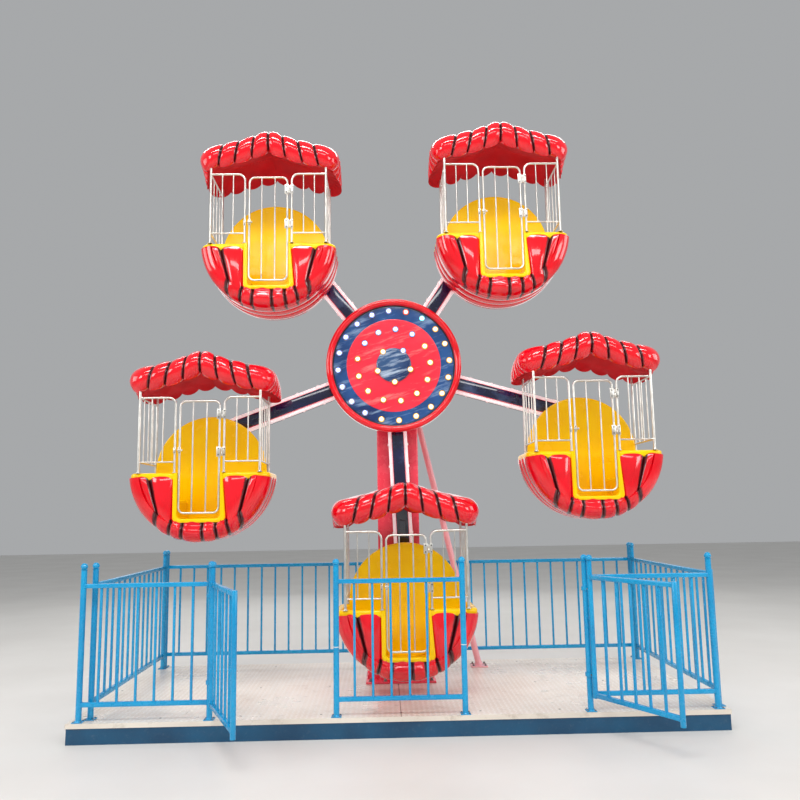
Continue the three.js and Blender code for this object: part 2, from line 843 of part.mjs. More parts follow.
function buildWheel() {
  const group = new THREE.Group();
  group.position.set(0, 0, wheel.hubZ);
  group.add(piece('hub_and_axle', hubBody(), paint.dark));
  group.add(piece('lamp_disc', dishBody(), paint.red));
  group.add(piece('lamp_ring', lampRingBody(), paint.ring));
  group.add(piece('lamp_disc_cap', capBody(), paint.navy));
  for (let i = 0; i < wheel.cabins; i += 1) {
    const angle = THREE.MathUtils.degToRad(-90 + wheel.turn + (360 / wheel.cabins) * i);
    const spoke = piece(`arm_${i + 1}`, armBody(), paint.navy);
    spoke.rotation.y = -angle;
    group.add(spoke);
    const hung = buildCabin(i + 1);
    hung.position.set(wheel.radius * Math.cos(angle), 0, wheel.radius * Math.sin(angle) - cabin.pivot);
    group.add(hung);
  }
  return group;
}

function place(mesh, x, y, degrees = 0) {
  mesh.position.set(x, y, deckTop + seat);
  mesh.rotation.z = THREE.MathUtils.degToRad(degrees);
  return mesh;
}

function buildFence() {
  const group = new THREE.Group();
  const halfPanel = fence.panel / 2;
  const gateEdge = halfPanel + fence.gap;
  const front = [
    ['fence_front_left', -gateEdge - fence.panel],
    ['fence_front_middle', -halfPanel],
    ['fence_front_right', gateEdge],
  ];
  front.forEach(([name, x]) => {
    group.add(place(piece(name, fencePanel(fence.panel), paint.blue), x, fence.frontY));
  });
  const clear = fence.footPlate + fence.footClearance;
  const sideLength = fence.backY - fence.frontY - 2 * clear;
  const leftSide = piece('fence_side_left', fencePanel(sideLength), paint.blue);
  group.add(place(leftSide, fence.sideLeftX, fence.frontY + clear, 90));
  const rightSide = piece('fence_side_right', sidePanelWithLowStile(sideLength), paint.blue);
  group.add(place(rightSide, fence.sideRightX, fence.frontY + clear, 90));
  const backLength = (fence.sideRightX - fence.sideLeftX - clear) / 2;
  const backLeft = piece('fence_back_left', fencePanel(backLength), paint.blue);
  group.add(place(backLeft, fence.sideLeftX, fence.backY));
  const backRight = piece('fence_back_right', fencePanel(backLength), paint.blue);
  group.add(place(backRight, fence.sideRightX - backLength, fence.backY));
  const leftGate = piece('gate_left', gatePanel(), paint.blue);
  group.add(place(leftGate, -gateEdge, fence.frontY, -gate.leftOpen));
  const rightGate = piece('gate_right', gatePanel(), paint.blue);
  group.add(place(rightGate, gateEdge, fence.frontY, 180 + gate.rightOpen));
  return group;
}

function buildStand() {
  const group = new THREE.Group();
  group.add(piece('platform_frame', platformFrame(), paint.base));
  group.add(piece('deck_plate', deckPlate(), paint.deck));
  group.add(piece('column', columnBody(), paint.columnRed));
  group.add(piece('column_foot', columnFootBody(), paint.columnRed));
  group.add(piece('bearing_front', bearingBody(column.frontY, -1), paint.dark));
  group.add(piece('bearing_rear', bearingBody(column.backY, 1), paint.dark));
  group.add(piece('rear_brace', braceBody(), paint.columnRed));
  return group;
}

const ferrisWheel = new THREE.Group();
ferrisWheel.add(buildStand(), buildFence(), buildWheel());

export default ferrisWheel;
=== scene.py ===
from math import acos, asin, copysign, cos, pi, radians, sin, sqrt

import bmesh
import bpy
from mathutils import Matrix, Vector


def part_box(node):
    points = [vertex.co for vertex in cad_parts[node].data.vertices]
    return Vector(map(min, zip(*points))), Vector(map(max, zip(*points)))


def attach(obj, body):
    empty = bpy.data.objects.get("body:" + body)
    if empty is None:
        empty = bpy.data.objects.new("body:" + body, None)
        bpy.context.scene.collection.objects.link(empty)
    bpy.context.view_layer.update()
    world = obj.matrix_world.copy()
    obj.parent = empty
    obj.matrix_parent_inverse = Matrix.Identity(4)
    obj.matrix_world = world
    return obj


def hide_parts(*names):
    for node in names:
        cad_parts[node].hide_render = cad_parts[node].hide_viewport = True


# Children's ferris wheel with five lobed tub cabins on a fenced platform
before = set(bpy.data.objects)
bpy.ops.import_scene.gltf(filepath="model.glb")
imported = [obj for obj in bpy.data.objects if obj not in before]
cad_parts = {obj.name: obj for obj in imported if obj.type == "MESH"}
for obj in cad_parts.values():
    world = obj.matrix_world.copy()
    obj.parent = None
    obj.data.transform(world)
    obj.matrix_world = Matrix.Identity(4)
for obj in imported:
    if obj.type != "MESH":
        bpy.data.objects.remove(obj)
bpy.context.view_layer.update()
print("frame loaded:", len(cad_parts), "nodes")

cabinCount = 5
seam = 0.0003  # metres left open where two solids meet


# Small tools

def mix(a, b, t):
    return a + (b - a) * t


def smooth(t):
    t = min(max(t, 0.0), 1.0)
    return t * t * (3 - 2 * t)


def addPart(piece, part, material=0, place=None):
    # the part's faces are turned outwards before it joins the piece
    bmesh.ops.recalc_face_normals(part, faces=part.faces)
    for face in part.faces:
        face.material_index = material
    if place is not None:
        bmesh.ops.transform(part, matrix=place, verts=part.verts)
    mesh = bpy.data.meshes.new("part")
    part.to_mesh(mesh)
    part.free()
    piece.from_mesh(mesh)
    bpy.data.meshes.remove(mesh)


def addBox(piece, low, high, material=0, edge=0.0015, segments=1, place=None):
    part = bmesh.new()
    low, high = Vector(low), Vector(high)
    size = Matrix.Diagonal((*(high - low), 1.0))
    bmesh.ops.create_cube(part, size=1.0, matrix=Matrix.Translation((low + high) / 2) @ size)
    if edge:
        bmesh.ops.bevel(part, geom=part.edges[:], offset=edge, segments=segments,
                        affect="EDGES", profile=0.5, material=-1)
    addPart(piece, part, material, place)


def addBlock(piece, x, y, half, low, high, edge, segments=1, place=None):
    # a box on a square base
    addBox(piece, (x - half, y - half, low), (x + half, y + half, high), 0, edge, segments, place)


def addRod(piece, start, end, radius, material=0, sides=12, endRadius=None, edge=0.0, place=None):
    start, end = Vector(start), Vector(end)
    along = end - start
    turn = along.to_track_quat("Z", "Y").to_matrix().to_4x4()
    part = bmesh.new()
    bmesh.ops.create_cone(part, cap_ends=True, segments=sides, radius1=radius,
                          radius2=radius if endRadius is None else endRadius, depth=along.length,
                          matrix=Matrix.Translation((start + end) / 2) @ turn)
    if edge:
        rims = [e for e in part.edges if any(len(f.verts) > 4 for f in e.link_faces)]
        bmesh.ops.bevel(part, geom=rims, offset=edge, segments=2, affect="EDGES",
                        profile=0.5, material=-1)
    addPart(piece, part, material, place)


def addLathe(piece, profile, steps, material=0, place=None):
    # profile: (radius, height) pairs, spun round Z
    part = bmesh.new()
    line = [part.verts.new((radius, 0, height)) for radius, height in profile]
    edges = [part.edges.new(pair) for pair in zip(line, line[1:])]
    bmesh.ops.spin(part, geom=line + edges, cent=(0, 0, 0), axis=(0, 0, 1), angle=2 * pi,
                   steps=steps, use_merge=True)
    bmesh.ops.remove_doubles(part, verts=part.verts, dist=1e-5)
    addPart(piece, part, material, place)


def pathFrames(path, closed, up):
    frames = []
    side = None
    last = len(path) - 1
    for i, point in enumerate(path):
        into = point - path[i - 1] if i or closed else path[1] - point
        out = path[(i + 1) % len(path)] - point if i < last or closed else into
        into, out = into.normalized(), out.normalized()
        along = (into + out).normalized()
        if up is not None:
            side = Vector(up).cross(along).normalized()
        elif side is None:
            side = along.orthogonal().normalized()
        else:
            side = (side - along * side.dot(along)).normalized()
        turn = Matrix((side, along.cross(side), along)).transposed().to_4x4()
        bend = out - into
        if bend.length > 1e-4:  # mitre the section at a corner
            turn = Matrix.Scale(1 / along.dot(out), 4, bend.normalized()) @ turn
        frames.append(Matrix.Translation(point) @ turn)
    return frames


def addSweep(piece, section, path, material=0, sides=10, closed=False, up=None, place=None):
    # section: a radius for a round tube, or the (x, y) points of a closed outline
    path = [Vector(p) for p in path]
    frames = pathFrames(path, closed, up)
    part = bmesh.new()
    if isinstance(section, float):
        bmesh.ops.create_circle(part, cap_ends=False, segments=sides, radius=section, matrix=frames[0])
        edges = part.edges[:]
    else:
        ring = [part.verts.new(frames[0] @ Vector((x, y, 0))) for x, y in section]
        edges = [part.edges.new((ring[i - 1], ring[i])) for i in range(len(ring))]
    first = edges
    for old, new in zip(frames, frames[1:] + (frames[:1] if closed else [])):
        made = bmesh.ops.extrude_edge_only(part, edges=edges)["geom"]
        edges = [g for g in made if isinstance(g, bmesh.types.BMEdge) and g.is_boundary]
        ends = [g for g in made if isinstance(g, bmesh.types.BMVert)]
        bmesh.ops.transform(part, matrix=new @ old.inverted(), verts=ends)
    if closed:
        bmesh.ops.remove_doubles(part, verts=part.verts, dist=1e-5)
    else:
        bmesh.ops.contextual_create(part, geom=first)
        bmesh.ops.contextual_create(part, geom=edges)
    addPart(piece, part, material, place)


def roundedPath(points, radius, steps=6, closed=False):
    # every corner of the line becomes an arc
    points = [Vector(p) for p in points]
    path = []
    for i, corner in enumerate(points):
        if not closed and i in (0, len(points) - 1):
            path.append(corner)
            continue
        into = (points[i - 1] - corner).normalized()
        out = (points[(i + 1) % len(points)] - corner).normalized()
        half = into.angle(out) / 2
        reach = radius / sin(half)
        centre = corner + (into + out).normalized() * reach
        start = corner + into * (reach * cos(half)) - centre
        end = corner + out * (reach * cos(half)) - centre
        for step in range(steps + 1):
            path.append(centre + start.slerp(end, step / steps) * radius)  # slerp gives a unit vector
    return path


def softSection(width, height, corner, steps=3):
    # a rectangle with round corners, as (x, y) points
    x, y = width / 2, height / 2
    outline = roundedPath([(x, y, 0), (-x, y, 0), (-x, -y, 0), (x, -y, 0)], corner, steps, closed=True)
    return [(p.x, p.y) for p in outline]


def mapGrid(columns, rows, place, skip=None):
    # a grid whose every point (column, row) is carried to its place; skip leaves cells open
    part = bmesh.new()
    bmesh.ops.create_grid(part, x_segments=columns, y_segments=rows, size=0.5)
    if skip:
        middles = [(face, face.calc_center_median() + Vector((0.5, 0.5, 0))) for face in part.faces]
        cells = [face for face, at in middles if skip(int(at.x * columns), int(at.y * rows))]
        bmesh.ops.delete(part, geom=cells, context="FACES")
    mark = part.verts.layers.float.new("groove")
    for vert in part.verts:
        i = round((vert.co.x + 0.5) * columns)
        j = round((vert.co.y + 0.5) * rows)
        vert.co, vert[mark] = place(i, j)
    bmesh.ops.remove_doubles(part, verts=part.verts, dist=1e-5)
    bmesh.ops.dissolve_degenerate(part, edges=part.edges, dist=1e-6)
    return part


def takeMesh(name, piece, paints, sharpAngle=40):
    mesh = bpy.data.meshes.new(name)
    piece.to_mesh(mesh)
    piece.free()
    for paint in paints:
        mesh.materials.append(finish[paint])
    mesh.shade_smooth()
    mesh.set_sharp_from_angle(angle=radians(sharpAngle))
    return mesh


def showPiece(name, mesh, body, slotName, *nodes):
    piece = bpy.data.objects.new(name, mesh)
    bpy.context.scene.collection.objects.link(piece)
    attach(piece, body)
    if nodes:
        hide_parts(*nodes)


def finishPiece(name, piece, paints, body, slotName, *nodes):
    showPiece(name, takeMesh(name, piece, paints), body, slotName, *nodes)


# Finishes

def addNode(tree, kind, inputs=None, **settings):
    node = tree.nodes.new("ShaderNode" + kind)
    for name, value in settings.items():
        setattr(node, name, value)
    for name, value in (inputs or {}).items():
        if isinstance(value, bpy.types.NodeSocket):
            tree.links.new(value, node.inputs[name])
        else:
            node.inputs[name].default_value = value
    return node


def colour(red, green, blue, share=1.0):
    # screen values 0 to 255, turned into the renderer's own linear ones; share darkens them
    linear = [((c / 255 + 0.055) / 1.055) ** 2.4 if c > 10 else c / 3295 for c in (red, green, blue)]
    return (*(c * share for c in linear), 1.0)


def mixColour(tree, factor, first, second):
    # a plain (red, green, blue) is read as screen values
    first, second = (colour(*c) if isinstance(c, tuple) and len(c) == 3 else c for c in (first, second))
    return addNode(tree, "Mix", {0: factor, 6: first, 7: second}, data_type="RGBA").outputs[2]


def mapRange(tree, value, fromLow, fromHigh, toLow, toHigh):
    ends = {"Value": value, "From Min": fromLow, "From Max": fromHigh,
            "To Min": toLow, "To Max": toHigh}
    return addNode(tree, "MapRange", ends).outputs["Result"]


def calculate(tree, operation, first, second=0.0):
    return addNode(tree, "Math", {0: first, 1: second}, operation=operation).outputs[0]


def startFinish(name, roughness=0.3, metallic=0.0, coat=0.0, coatRoughness=0.03):
    material = bpy.data.materials.new(name)
    material.use_nodes = True
    shader = material.node_tree.nodes["Principled BSDF"]
    shader.inputs["Roughness"].default_value = roughness
    shader.inputs["Metallic"].default_value = metallic
    shader.inputs["Coat Weight"].default_value = coat
    shader.inputs["Coat Roughness"].default_value = coatRoughness
    return material, material.node_tree, shader


def objectPlace(tree):
    return addNode(tree, "TexCoord").outputs["Object"]


def noise(tree, scale, detail=3.0, roughness=0.5, stretch=None, turn=0.0):
    place = objectPlace(tree)
    if turn:
        place = addNode(tree, "VectorRotate", {"Vector": place, "Angle": radians(turn)},
                        rotation_type="Y_AXIS").outputs[0]
    if stretch:
        place = addNode(tree, "Mapping", {"Vector": place, "Scale": stretch}).outputs[0]
    return addNode(tree, "TexNoise", {"Vector": place, "Scale": scale, "Detail": detail,
                                      "Roughness": roughness}).outputs["Fac"]


def blotch(tree, under, over, scale, detail, low, high, most=1.0, roughness=0.5):
    # the second colour shows over the first where the noise is high
    share = mapRange(tree, noise(tree, scale, detail, roughness), low, high, 0.0, most)
    return mixColour(tree, share, under, over)


def setColour(tree, shader, value):
    tree.links.new(value, shader.inputs["Base Color"])


def setBump(tree, shader, height, distance, strength, under=None):
    inputs = {"Height": height, "Distance": distance, "Strength": strength}
    if under is not None:
        inputs["Normal"] = under
    bump = addNode(tree, "Bump", inputs)
    tree.links.new(bump.outputs[0], shader.inputs["Normal"])
    return bump.outputs[0]


def addWaves(tree, shader, low, high, scale):
    # patches of slightly duller gloss
    rough = mapRange(tree, noise(tree, scale, 4.0), 0.35, 0.7, low, high)
    tree.links.new(rough, shader.inputs["Roughness"])


def shellRed(name, polished=True):
    # red fibreglass; outside it is polished and its grooves are lined by hand with dark paint
    material, tree, shader = startFinish(name, coat=1.0 if polished else 0.0, coatRoughness=0.025)
    # the matte underside gets a darker red: painted shade under the canopy, besides its rougher finish
    light, dark = ((240, 10, 32), (216, 4, 22)) if polished else ((206, 6, 24), (180, 2, 16))
    tint = blotch(tree, light, dark, 5.0, 4.0, 0.3, 0.7)
    tint = blotch(tree, tint, (150, 8, 20), 190.0, 2.0, 0.70, 0.78, 0.35)
    low, high = (0.10, 0.18) if polished else (0.55, 0.75)
    shader.inputs["Specular IOR Level"].default_value = 0.2
    rough = mapRange(tree, noise(tree, 9.0, 5.0), 0.35, 0.7, low, high)
    if polished:
        line = addNode(tree, "Attribute", attribute_name="groove").outputs["Fac"]
        brush = mapRange(tree, noise(tree, 45.0, 3.0), 0.2, 0.8, -0.10, 0.10)
        line = calculate(tree, "ADD", line, brush)
        line = mapRange(tree, line, 0.42, 0.66, 0.0, 1.0)
        tint = mixColour(tree, line, tint, (72, 8, 14))
        rough = calculate(tree, "ADD", rough, calculate(tree, "MULTIPLY", line, 0.18))
    setColour(tree, shader, tint)
    tree.links.new(rough, shader.inputs["Roughness"])
    wave = setBump(tree, shader, noise(tree, 7.0, 2.0), 0.004, 0.5)
    setBump(tree, shader, noise(tree, 60.0, 2.0), 0.0004, 0.35, wave)
    return material


def shellYellow():
    # duller fibreglass with a few scuffs
    material, tree, shader = startFinish("yellowShell", coat=0.12, coatRoughness=0.05)
    shader.inputs["Specular IOR Level"].default_value = 0.2
    tint = blotch(tree, (253, 208, 4), (248, 194, 2), 4.0, 4.0, 0.3, 0.7)
    setColour(tree, shader, blotch(tree, tint, (214, 150, 20), 70.0, 6.0, 0.66, 0.74, 0.4, 0.7))
    addWaves(tree, shader, 0.12, 0.30, 8.0)
    wave = setBump(tree, shader, noise(tree, 5.0, 2.0), 0.004, 0.4)
    setBump(tree, shader, noise(tree, 70.0, 2.0), 0.0003, 0.3, wave)
    return material


def polishedSteel(name, light, dark, low, high, grain=(90, 90, 8)):
    # bare metal with a fine grain and a few stains
    material, tree, shader = startFinish(name, metallic=1.0)
    tint = blotch(tree, light, dark, 12.0, 5.0, 0.3, 0.7)
    stained = blotch(tree, tint, colour(*dark, 0.6), 40.0, 6.0, 0.60, 0.78, 0.35, 0.7)
    setColour(tree, shader, stained)
    addWaves(tree, shader, low, high, 20.0)
    setBump(tree, shader, noise(tree, 1.0, 2.0, 0.4, grain), 0.0001, 0.1)
    return material


def paintedSteel(name, light, dark, wear, roughness=0.28, coat=0.35, dusty=0.06):
    # sprayed gloss paint: orange peel, a little dust and small chips
    material, tree, shader = startFinish(name, coat=coat, coatRoughness=0.08)
    tint = blotch(tree, light, dark, 3.0, 5.0, 0.3, 0.7)
    tint = blotch(tree, tint, (226, 220, 210), 26.0, 6.0, 0.55, 0.8, dusty, 0.7)
    setColour(tree, shader, blotch(tree, tint, wear, 130.0, 3.0, 0.76, 0.79, 0.6))
    addWaves(tree, shader, roughness * 0.75, roughness * 1.4, 14.0)
    setBump(tree, shader, noise(tree, 220.0, 2.0), 0.0004, 0.5)
    return material


def chequerSteel():
    # raised almond marks, turned one way and the other
    material, tree, shader = startFinish("chequerSteel", metallic=0.2)
    cell = 0.040
    place = addNode(tree, "SeparateXYZ", {0: objectPlace(tree)})
    across = calculate(tree, "DIVIDE", place.outputs[0], cell)
    along = calculate(tree, "DIVIDE", place.outputs[1], cell)
    fromMiddle = [calculate(tree, "SUBTRACT", calculate(tree, "FRACT", v), 0.5)
                  for v in (across, along)]
    flip = calculate(tree, "ADD", calculate(tree, "FLOOR", across), calculate(tree, "FLOOR", along))
    flip = calculate(tree, "MULTIPLY", calculate(tree, "PINGPONG", flip, 1.0), 2.0)
    flip = calculate(tree, "SUBTRACT", flip, 1.0)  # 1 on one cell and -1 on the next
    turned = calculate(tree, "MULTIPLY", fromMiddle[1], flip)
    long = calculate(tree, "MULTIPLY", calculate(tree, "ADD", fromMiddle[0], turned), 1.05)
    short = calculate(tree, "MULTIPLY", calculate(tree, "SUBTRACT", fromMiddle[0], turned), 3.6)
    reach = calculate(tree, "ADD", calculate(tree, "POWER", long, 2.0),
                      calculate(tree, "POWER", short, 2.0))
    mark = mapRange(tree, reach, 0.20, 0.42, 1.0, 0.0)
    tint = blotch(tree, (238, 229, 216), (220, 208, 194), 1.6, 6.0, 0.3, 0.7)
    tint = mixColour(tree, calculate(tree, "MULTIPLY", mark, 0.85), tint, (255, 253, 249))
    dirty = blotch(tree, tint, (168, 150, 132), 9.0, 8.0, 0.56, 0.72, 0.45, 0.7)
    setColour(tree, shader, dirty)
    addWaves(tree, shader, 0.26, 0.48, 3.0)
    setBump(tree, shader, mark, 0.0018, 0.9)
    return material


def frostedStripPaintedGlow():
    # milky ridged cover of the light strips, which are unlit; the ridges run along the arm, on its own
    # UV map
    material, tree, shader = startFinish("frostedStripPaintedGlow", roughness=0.34)
    shader.inputs["Transmission Weight"].default_value = 0.12
    shader.inputs["IOR"].default_value = 1.35
    # a faint painted glow whitens the strips; they are not lamps that are on
    shader.inputs["Emission Color"].default_value = colour(255, 236, 240)
    shader.inputs["Emission Strength"].default_value = 0.3
    along = addNode(tree, "UVMap", uv_map="along").outputs[0]
    ridge = addNode(tree, "TexWave", {"Vector": along, "Scale": 20.0, "Distortion": 0.2},
                    wave_type="BANDS", bands_direction="Y").outputs["Fac"]
    bands = mapRange(tree, ridge, 0.2, 0.8, 0.0, 0.6)
    tint = mixColour(tree, bands, (255, 250, 250), (252, 240, 242))
    setColour(tree, shader, blotch(tree, tint, (246, 214, 216), 14.0, 4.0, 0.4, 0.75, 0.5))
    setBump(tree, shader, ridge, 0.0012, 0.8)
    return material


def lampGlass(name, light, strength):
    # a lit lens with the fine pebbles of its moulding
    material, tree, shader = startFinish(name, roughness=0.12, coat=0.4)
    glow = blotch(tree, light, colour(*light, 0.75), 300.0, 2.0, 0.4, 0.7)
    tree.links.new(glow, shader.inputs["Emission Color"])
    shader.inputs["Base Color"].default_value = colour(*light, 0.925)
    shader.inputs["Emission Strength"].default_value = strength
    setBump(tree, shader, noise(tree, 260.0, 2.0), 0.0003, 0.4)
    return material


def glossyPanel(name, light, dark, reflectionTint, reflectionStretch, start=0.54, most=0.45, turn=0.0):
    # deep polished panel with painted reflection streaks of the room laid over its colour; start and
    # most set how many and how clear
    material, tree, shader = startFinish(name, coat=0.8, coatRoughness=0.02)
    tint = blotch(tree, light, dark, 3.0, 4.0, 0.35, 0.65)
    # painted reflection: pale stretched streaks mixed over the panel's colour
    paintedReflection = noise(tree, 1.0, 6.0, 0.65, reflectionStretch, turn)
    paintedReflection = mapRange(tree, paintedReflection, start, start + 0.16, 0.0, most)
    setColour(tree, shader, mixColour(tree, paintedReflection, tint, reflectionTint))
    addWaves(tree, shader, 0.07, 0.182, 10.0)
    setBump(tree, shader, noise(tree, 8.0, 2.0), 0.002, 0.3)
    return material


def paleFloor():
    material, tree, shader = startFinish("paleFloor", roughness=0.5)
    tint = mixColour(tree, noise(tree, 0.8, 5.0), (226, 224, 220), (206, 203, 198))
    setColour(tree, shader, tint)
    setBump(tree, shader, noise(tree, 40.0, 3.0), 0.0006, 0.4)
    return material


finish = {
    "shellRed": shellRed("redShell"),
    "shellUnder": shellRed("redShellUnder", polished=False),
    "yellow": shellYellow(),
    "steel": polishedSteel("polishedSteel", (232, 229, 222), (204, 200, 192), 0.30, 0.42),
    "zinc": polishedSteel("zincBolts", (150, 148, 144), (104, 102, 98), 0.3, 0.5, (90, 90, 90)),
    "iron": paintedSteel("bearingIron", (70, 74, 82), (44, 46, 52), (120, 112, 104), 0.4, 0.1),
    "blue": paintedSteel("fenceBlue", (0, 158, 210), (0, 138, 192), (90, 150, 176), 0.26, 0.2,
                         dusty=0.025),
    "base": paintedSteel("baseNavy", (4, 80, 116), (0, 56, 88), (80, 106, 122), 0.42, 0.1),
    # red paint lightened towards pink: partly painted reflection of the pale room on the glossy column
    "column": paintedSteel("columnRedPaintedSheen", (255, 76, 98), (246, 58, 80), (200, 84, 90), 0.26),
    # the stay is red paint; its pale pink is a painted highlight for the glare on it
    "brace": paintedSteel("braceRedPaintedHighlight", (250, 190, 196), (244, 166, 174), (250, 230, 228), 0.3),
    "deck": chequerSteel(),
    "lip": paintedSteel("deckEdge", (226, 230, 230), (196, 204, 208), (120, 110, 100), 0.4, 0.1),
    # the third colour of each glossy panel is its painted reflection tint
    "navy": glossyPanel("armNavy", (22, 26, 70), (10, 12, 44), (110, 140, 186), (2, 40, 2)),
    "ring": glossyPanel("ringBlue", (34, 84, 146), (12, 42, 96), (150, 182, 214), (3, 9, 18),
                        0.51, 0.62, 18),
    "cap": glossyPanel("capNavy", (58, 98, 144), (18, 42, 88), (186, 204, 222), (3.5, 9, 22),
                       0.48, 0.85, 16),
    "discFace": glossyPanel("discFace", (246, 50, 72), (232, 34, 58), (252, 158, 150), (3, 9, 18),
                            0.53, 0.5, 18),
    "clip": paintedSteel("clipIvory", (246, 238, 236), (230, 216, 216), (190, 170, 168), 0.4, 0.1),
    "black": paintedSteel("blackEdge", (26, 26, 30), (14, 14, 16), (90, 90, 90), 0.4, 0.1),
    "strip": frostedStripPaintedGlow(),
    "gold": polishedSteel("lampBezel", (214, 176, 112), (150, 110, 60), 0.2, 0.4, (120, 120, 120)),
    "core": lampGlass("lampCore", (255, 253, 248), 1.5),
    "warm": lampGlass("lampWarm", (255, 206, 96), 0.55),
    "cool": lampGlass("lampCool", (96, 156, 255), 0.75),
    "cyan": lampGlass("lampCyan", (60, 224, 255), 0.9),
    "scarlet": lampGlass("lampScarlet", (255, 70, 60), 0.9),
    "orange": lampGlass("lampOrange", (255, 140, 40), 0.8),
    "floor": paleFloor(),
}
print("finishes ready:", len(finish))


# Camera and studio

view = {
    "place": (-0.110, -7.113, 1.637),
    "yaw": -0.023,
    "pitch": 0.1439,
    "roll": -0.0166,
    "lens": 35.1,
    "sensor": 36.0,
}


def setCamera():
    yaw, pitch, roll = view["yaw"], view["pitch"], view["roll"]
    right = Vector((cos(yaw), sin(yaw), 0))
    ahead = Vector((-sin(yaw) * cos(pitch), cos(yaw) * cos(pitch), sin(pitch)))
    up = Vector((sin(yaw) * sin(pitch), -cos(yaw) * sin(pitch), cos(pitch)))
    x = right * cos(roll) + up * sin(roll)
    y = up * cos(roll) - right * sin(roll)
    turn = Matrix((x, y, -ahead)).transposed().to_4x4()
    data = bpy.data.cameras.new("camera")
    data.lens = view["lens"]
    data.sensor_width = view["sensor"]
    data.sensor_fit = "HORIZONTAL"
    camera = bpy.data.objects.new("camera", data)
    camera.matrix_world = Matrix.Translation(view["place"]) @ turn
    bpy.context.scene.collection.objects.link(camera)
    bpy.context.scene.camera = camera


roomLight = {"colour": (0.92, 0.94, 0.96, 1.0), "strength": 0.42}
# name: where it is, what it looks at, size, power
softLights = {
    "keyLeft": ((-8.5, -8.0, 5.5), (0, -0.5, 2.4), (3.0, 3.0), 240),
    "keyRight": ((8.5, -8.0, 4.6), (0, -0.5, 2.4), (3.0, 3.0), 200),
    "keyHigh": ((-1.5, -8.5, 12.5), (0, -0.5, 2.2), (6.0, 2.0), 500),
    "frontStrip": ((0.0, -14.0, 8.6), (0, -0.5, 2.6), (14.0, 1.2), 400),
    "rightWindow": ((9.0, -1.5, 4.5), (0, -0.5, 2.4), (4.0, 3.5), 170),
    "leftWindow": ((-9.0, -1.5, 4.2), (0, -0.5, 2.4), (4.0, 3.0), 120),
    "skylightNear": ((0.0, -5.0, 9.0), (0, -0.5, 3.0), (12.0, 0.22), 300),
    "skylightFar": ((0.0, 3.5, 9.6), (0, 0, 3.0), (12.0, 0.6), 300),
    "backWall": ((0.0, 9.0, 4.0), (0, 0.5, 2.4), (12.0, 4.0), 110),
}


def setStudio():
    for name, (place, target, (width, height), power) in softLights.items():
        data = bpy.data.lights.new(name, "AREA")
        data.shape = "RECTANGLE"
        data.size, data.size_y, data.energy = width, height, power
        light = bpy.data.objects.new(name, data)
        aim = (Vector(target) - Vector(place)).to_track_quat("-Z", "Y").to_matrix().to_4x4()
        light.matrix_world = Matrix.Translation(place) @ aim
        bpy.context.scene.collection.objects.link(light)
    world = bpy.data.worlds.new("paleRoom")
    world.use_nodes = True
    background = world.node_tree.nodes["Background"]
    background.inputs["Color"].default_value = roomLight["colour"]
    background.inputs["Strength"].default_value = roomLight["strength"]
    bpy.context.scene.world = world
    bpy.context.scene.view_settings.view_transform = "Standard"


def setFloor():
    floor = bmesh.new()
    bmesh.ops.create_grid(floor, x_segments=4, y_segments=4, size=30.0)
    plane = bpy.data.objects.new("floor", takeMesh("floor", floor, ("floor",)))
    bpy.context.scene.collection.objects.link(plane)


setCamera()
setStudio()
setFloor()
print("camera, lights and floor set")


# Canopy: a lobed shell with a fat rolled edge, drawn at a cabin's own origin

canopy = {
    "halfWidth": 0.61,
    "halfDepth": 0.312,
    "middleY": -0.36,
    "corner": 0.15,
    "roll": 0.095,
    "lipAngle": (155, 103),  # in front and behind
    "top": 1.565,
    "topDrop": 0.13,
    "frontLip": 1.388,
    "frontDrop": 0.135,
    "backLip": 1.362,
    "backDrop": 0.134,
    "shoulder": 0.5,
    "crown": 0.09,
    "ceiling": 1.46,
    "frontCreases": (0, 0.147, 0.298, 0.437),
    "sideCreases": (-0.515, -0.44, -0.36, -0.28, -0.205),
    "bulge": 0.019,
    "lipBulge": (0.010, 0.024),
    "notch": 0.004,
    "notchHalf": 0.009,
    "bend": 0.062,
    "ridgeShare": 0.62,
    "roofRise": 0.008,
    "roofBulge": 0.6,
    "creaseFade": 0.74,  # paint at the lip, against the crown
    "lobeColumns": (12, 12, 12, 18, 6, 6, 6, 6, 14, 8, 8, 8),  # half of the outline, from the front
    "rollRows": 14,
    "roofRows": 6,
    "underRows": 8,
    "paintReach": 0.034,
}


def lobePositions(steps):
    # close together beside the creases
    return [(1 - cos(pi * k / steps)) / 2 for k in range(steps)]


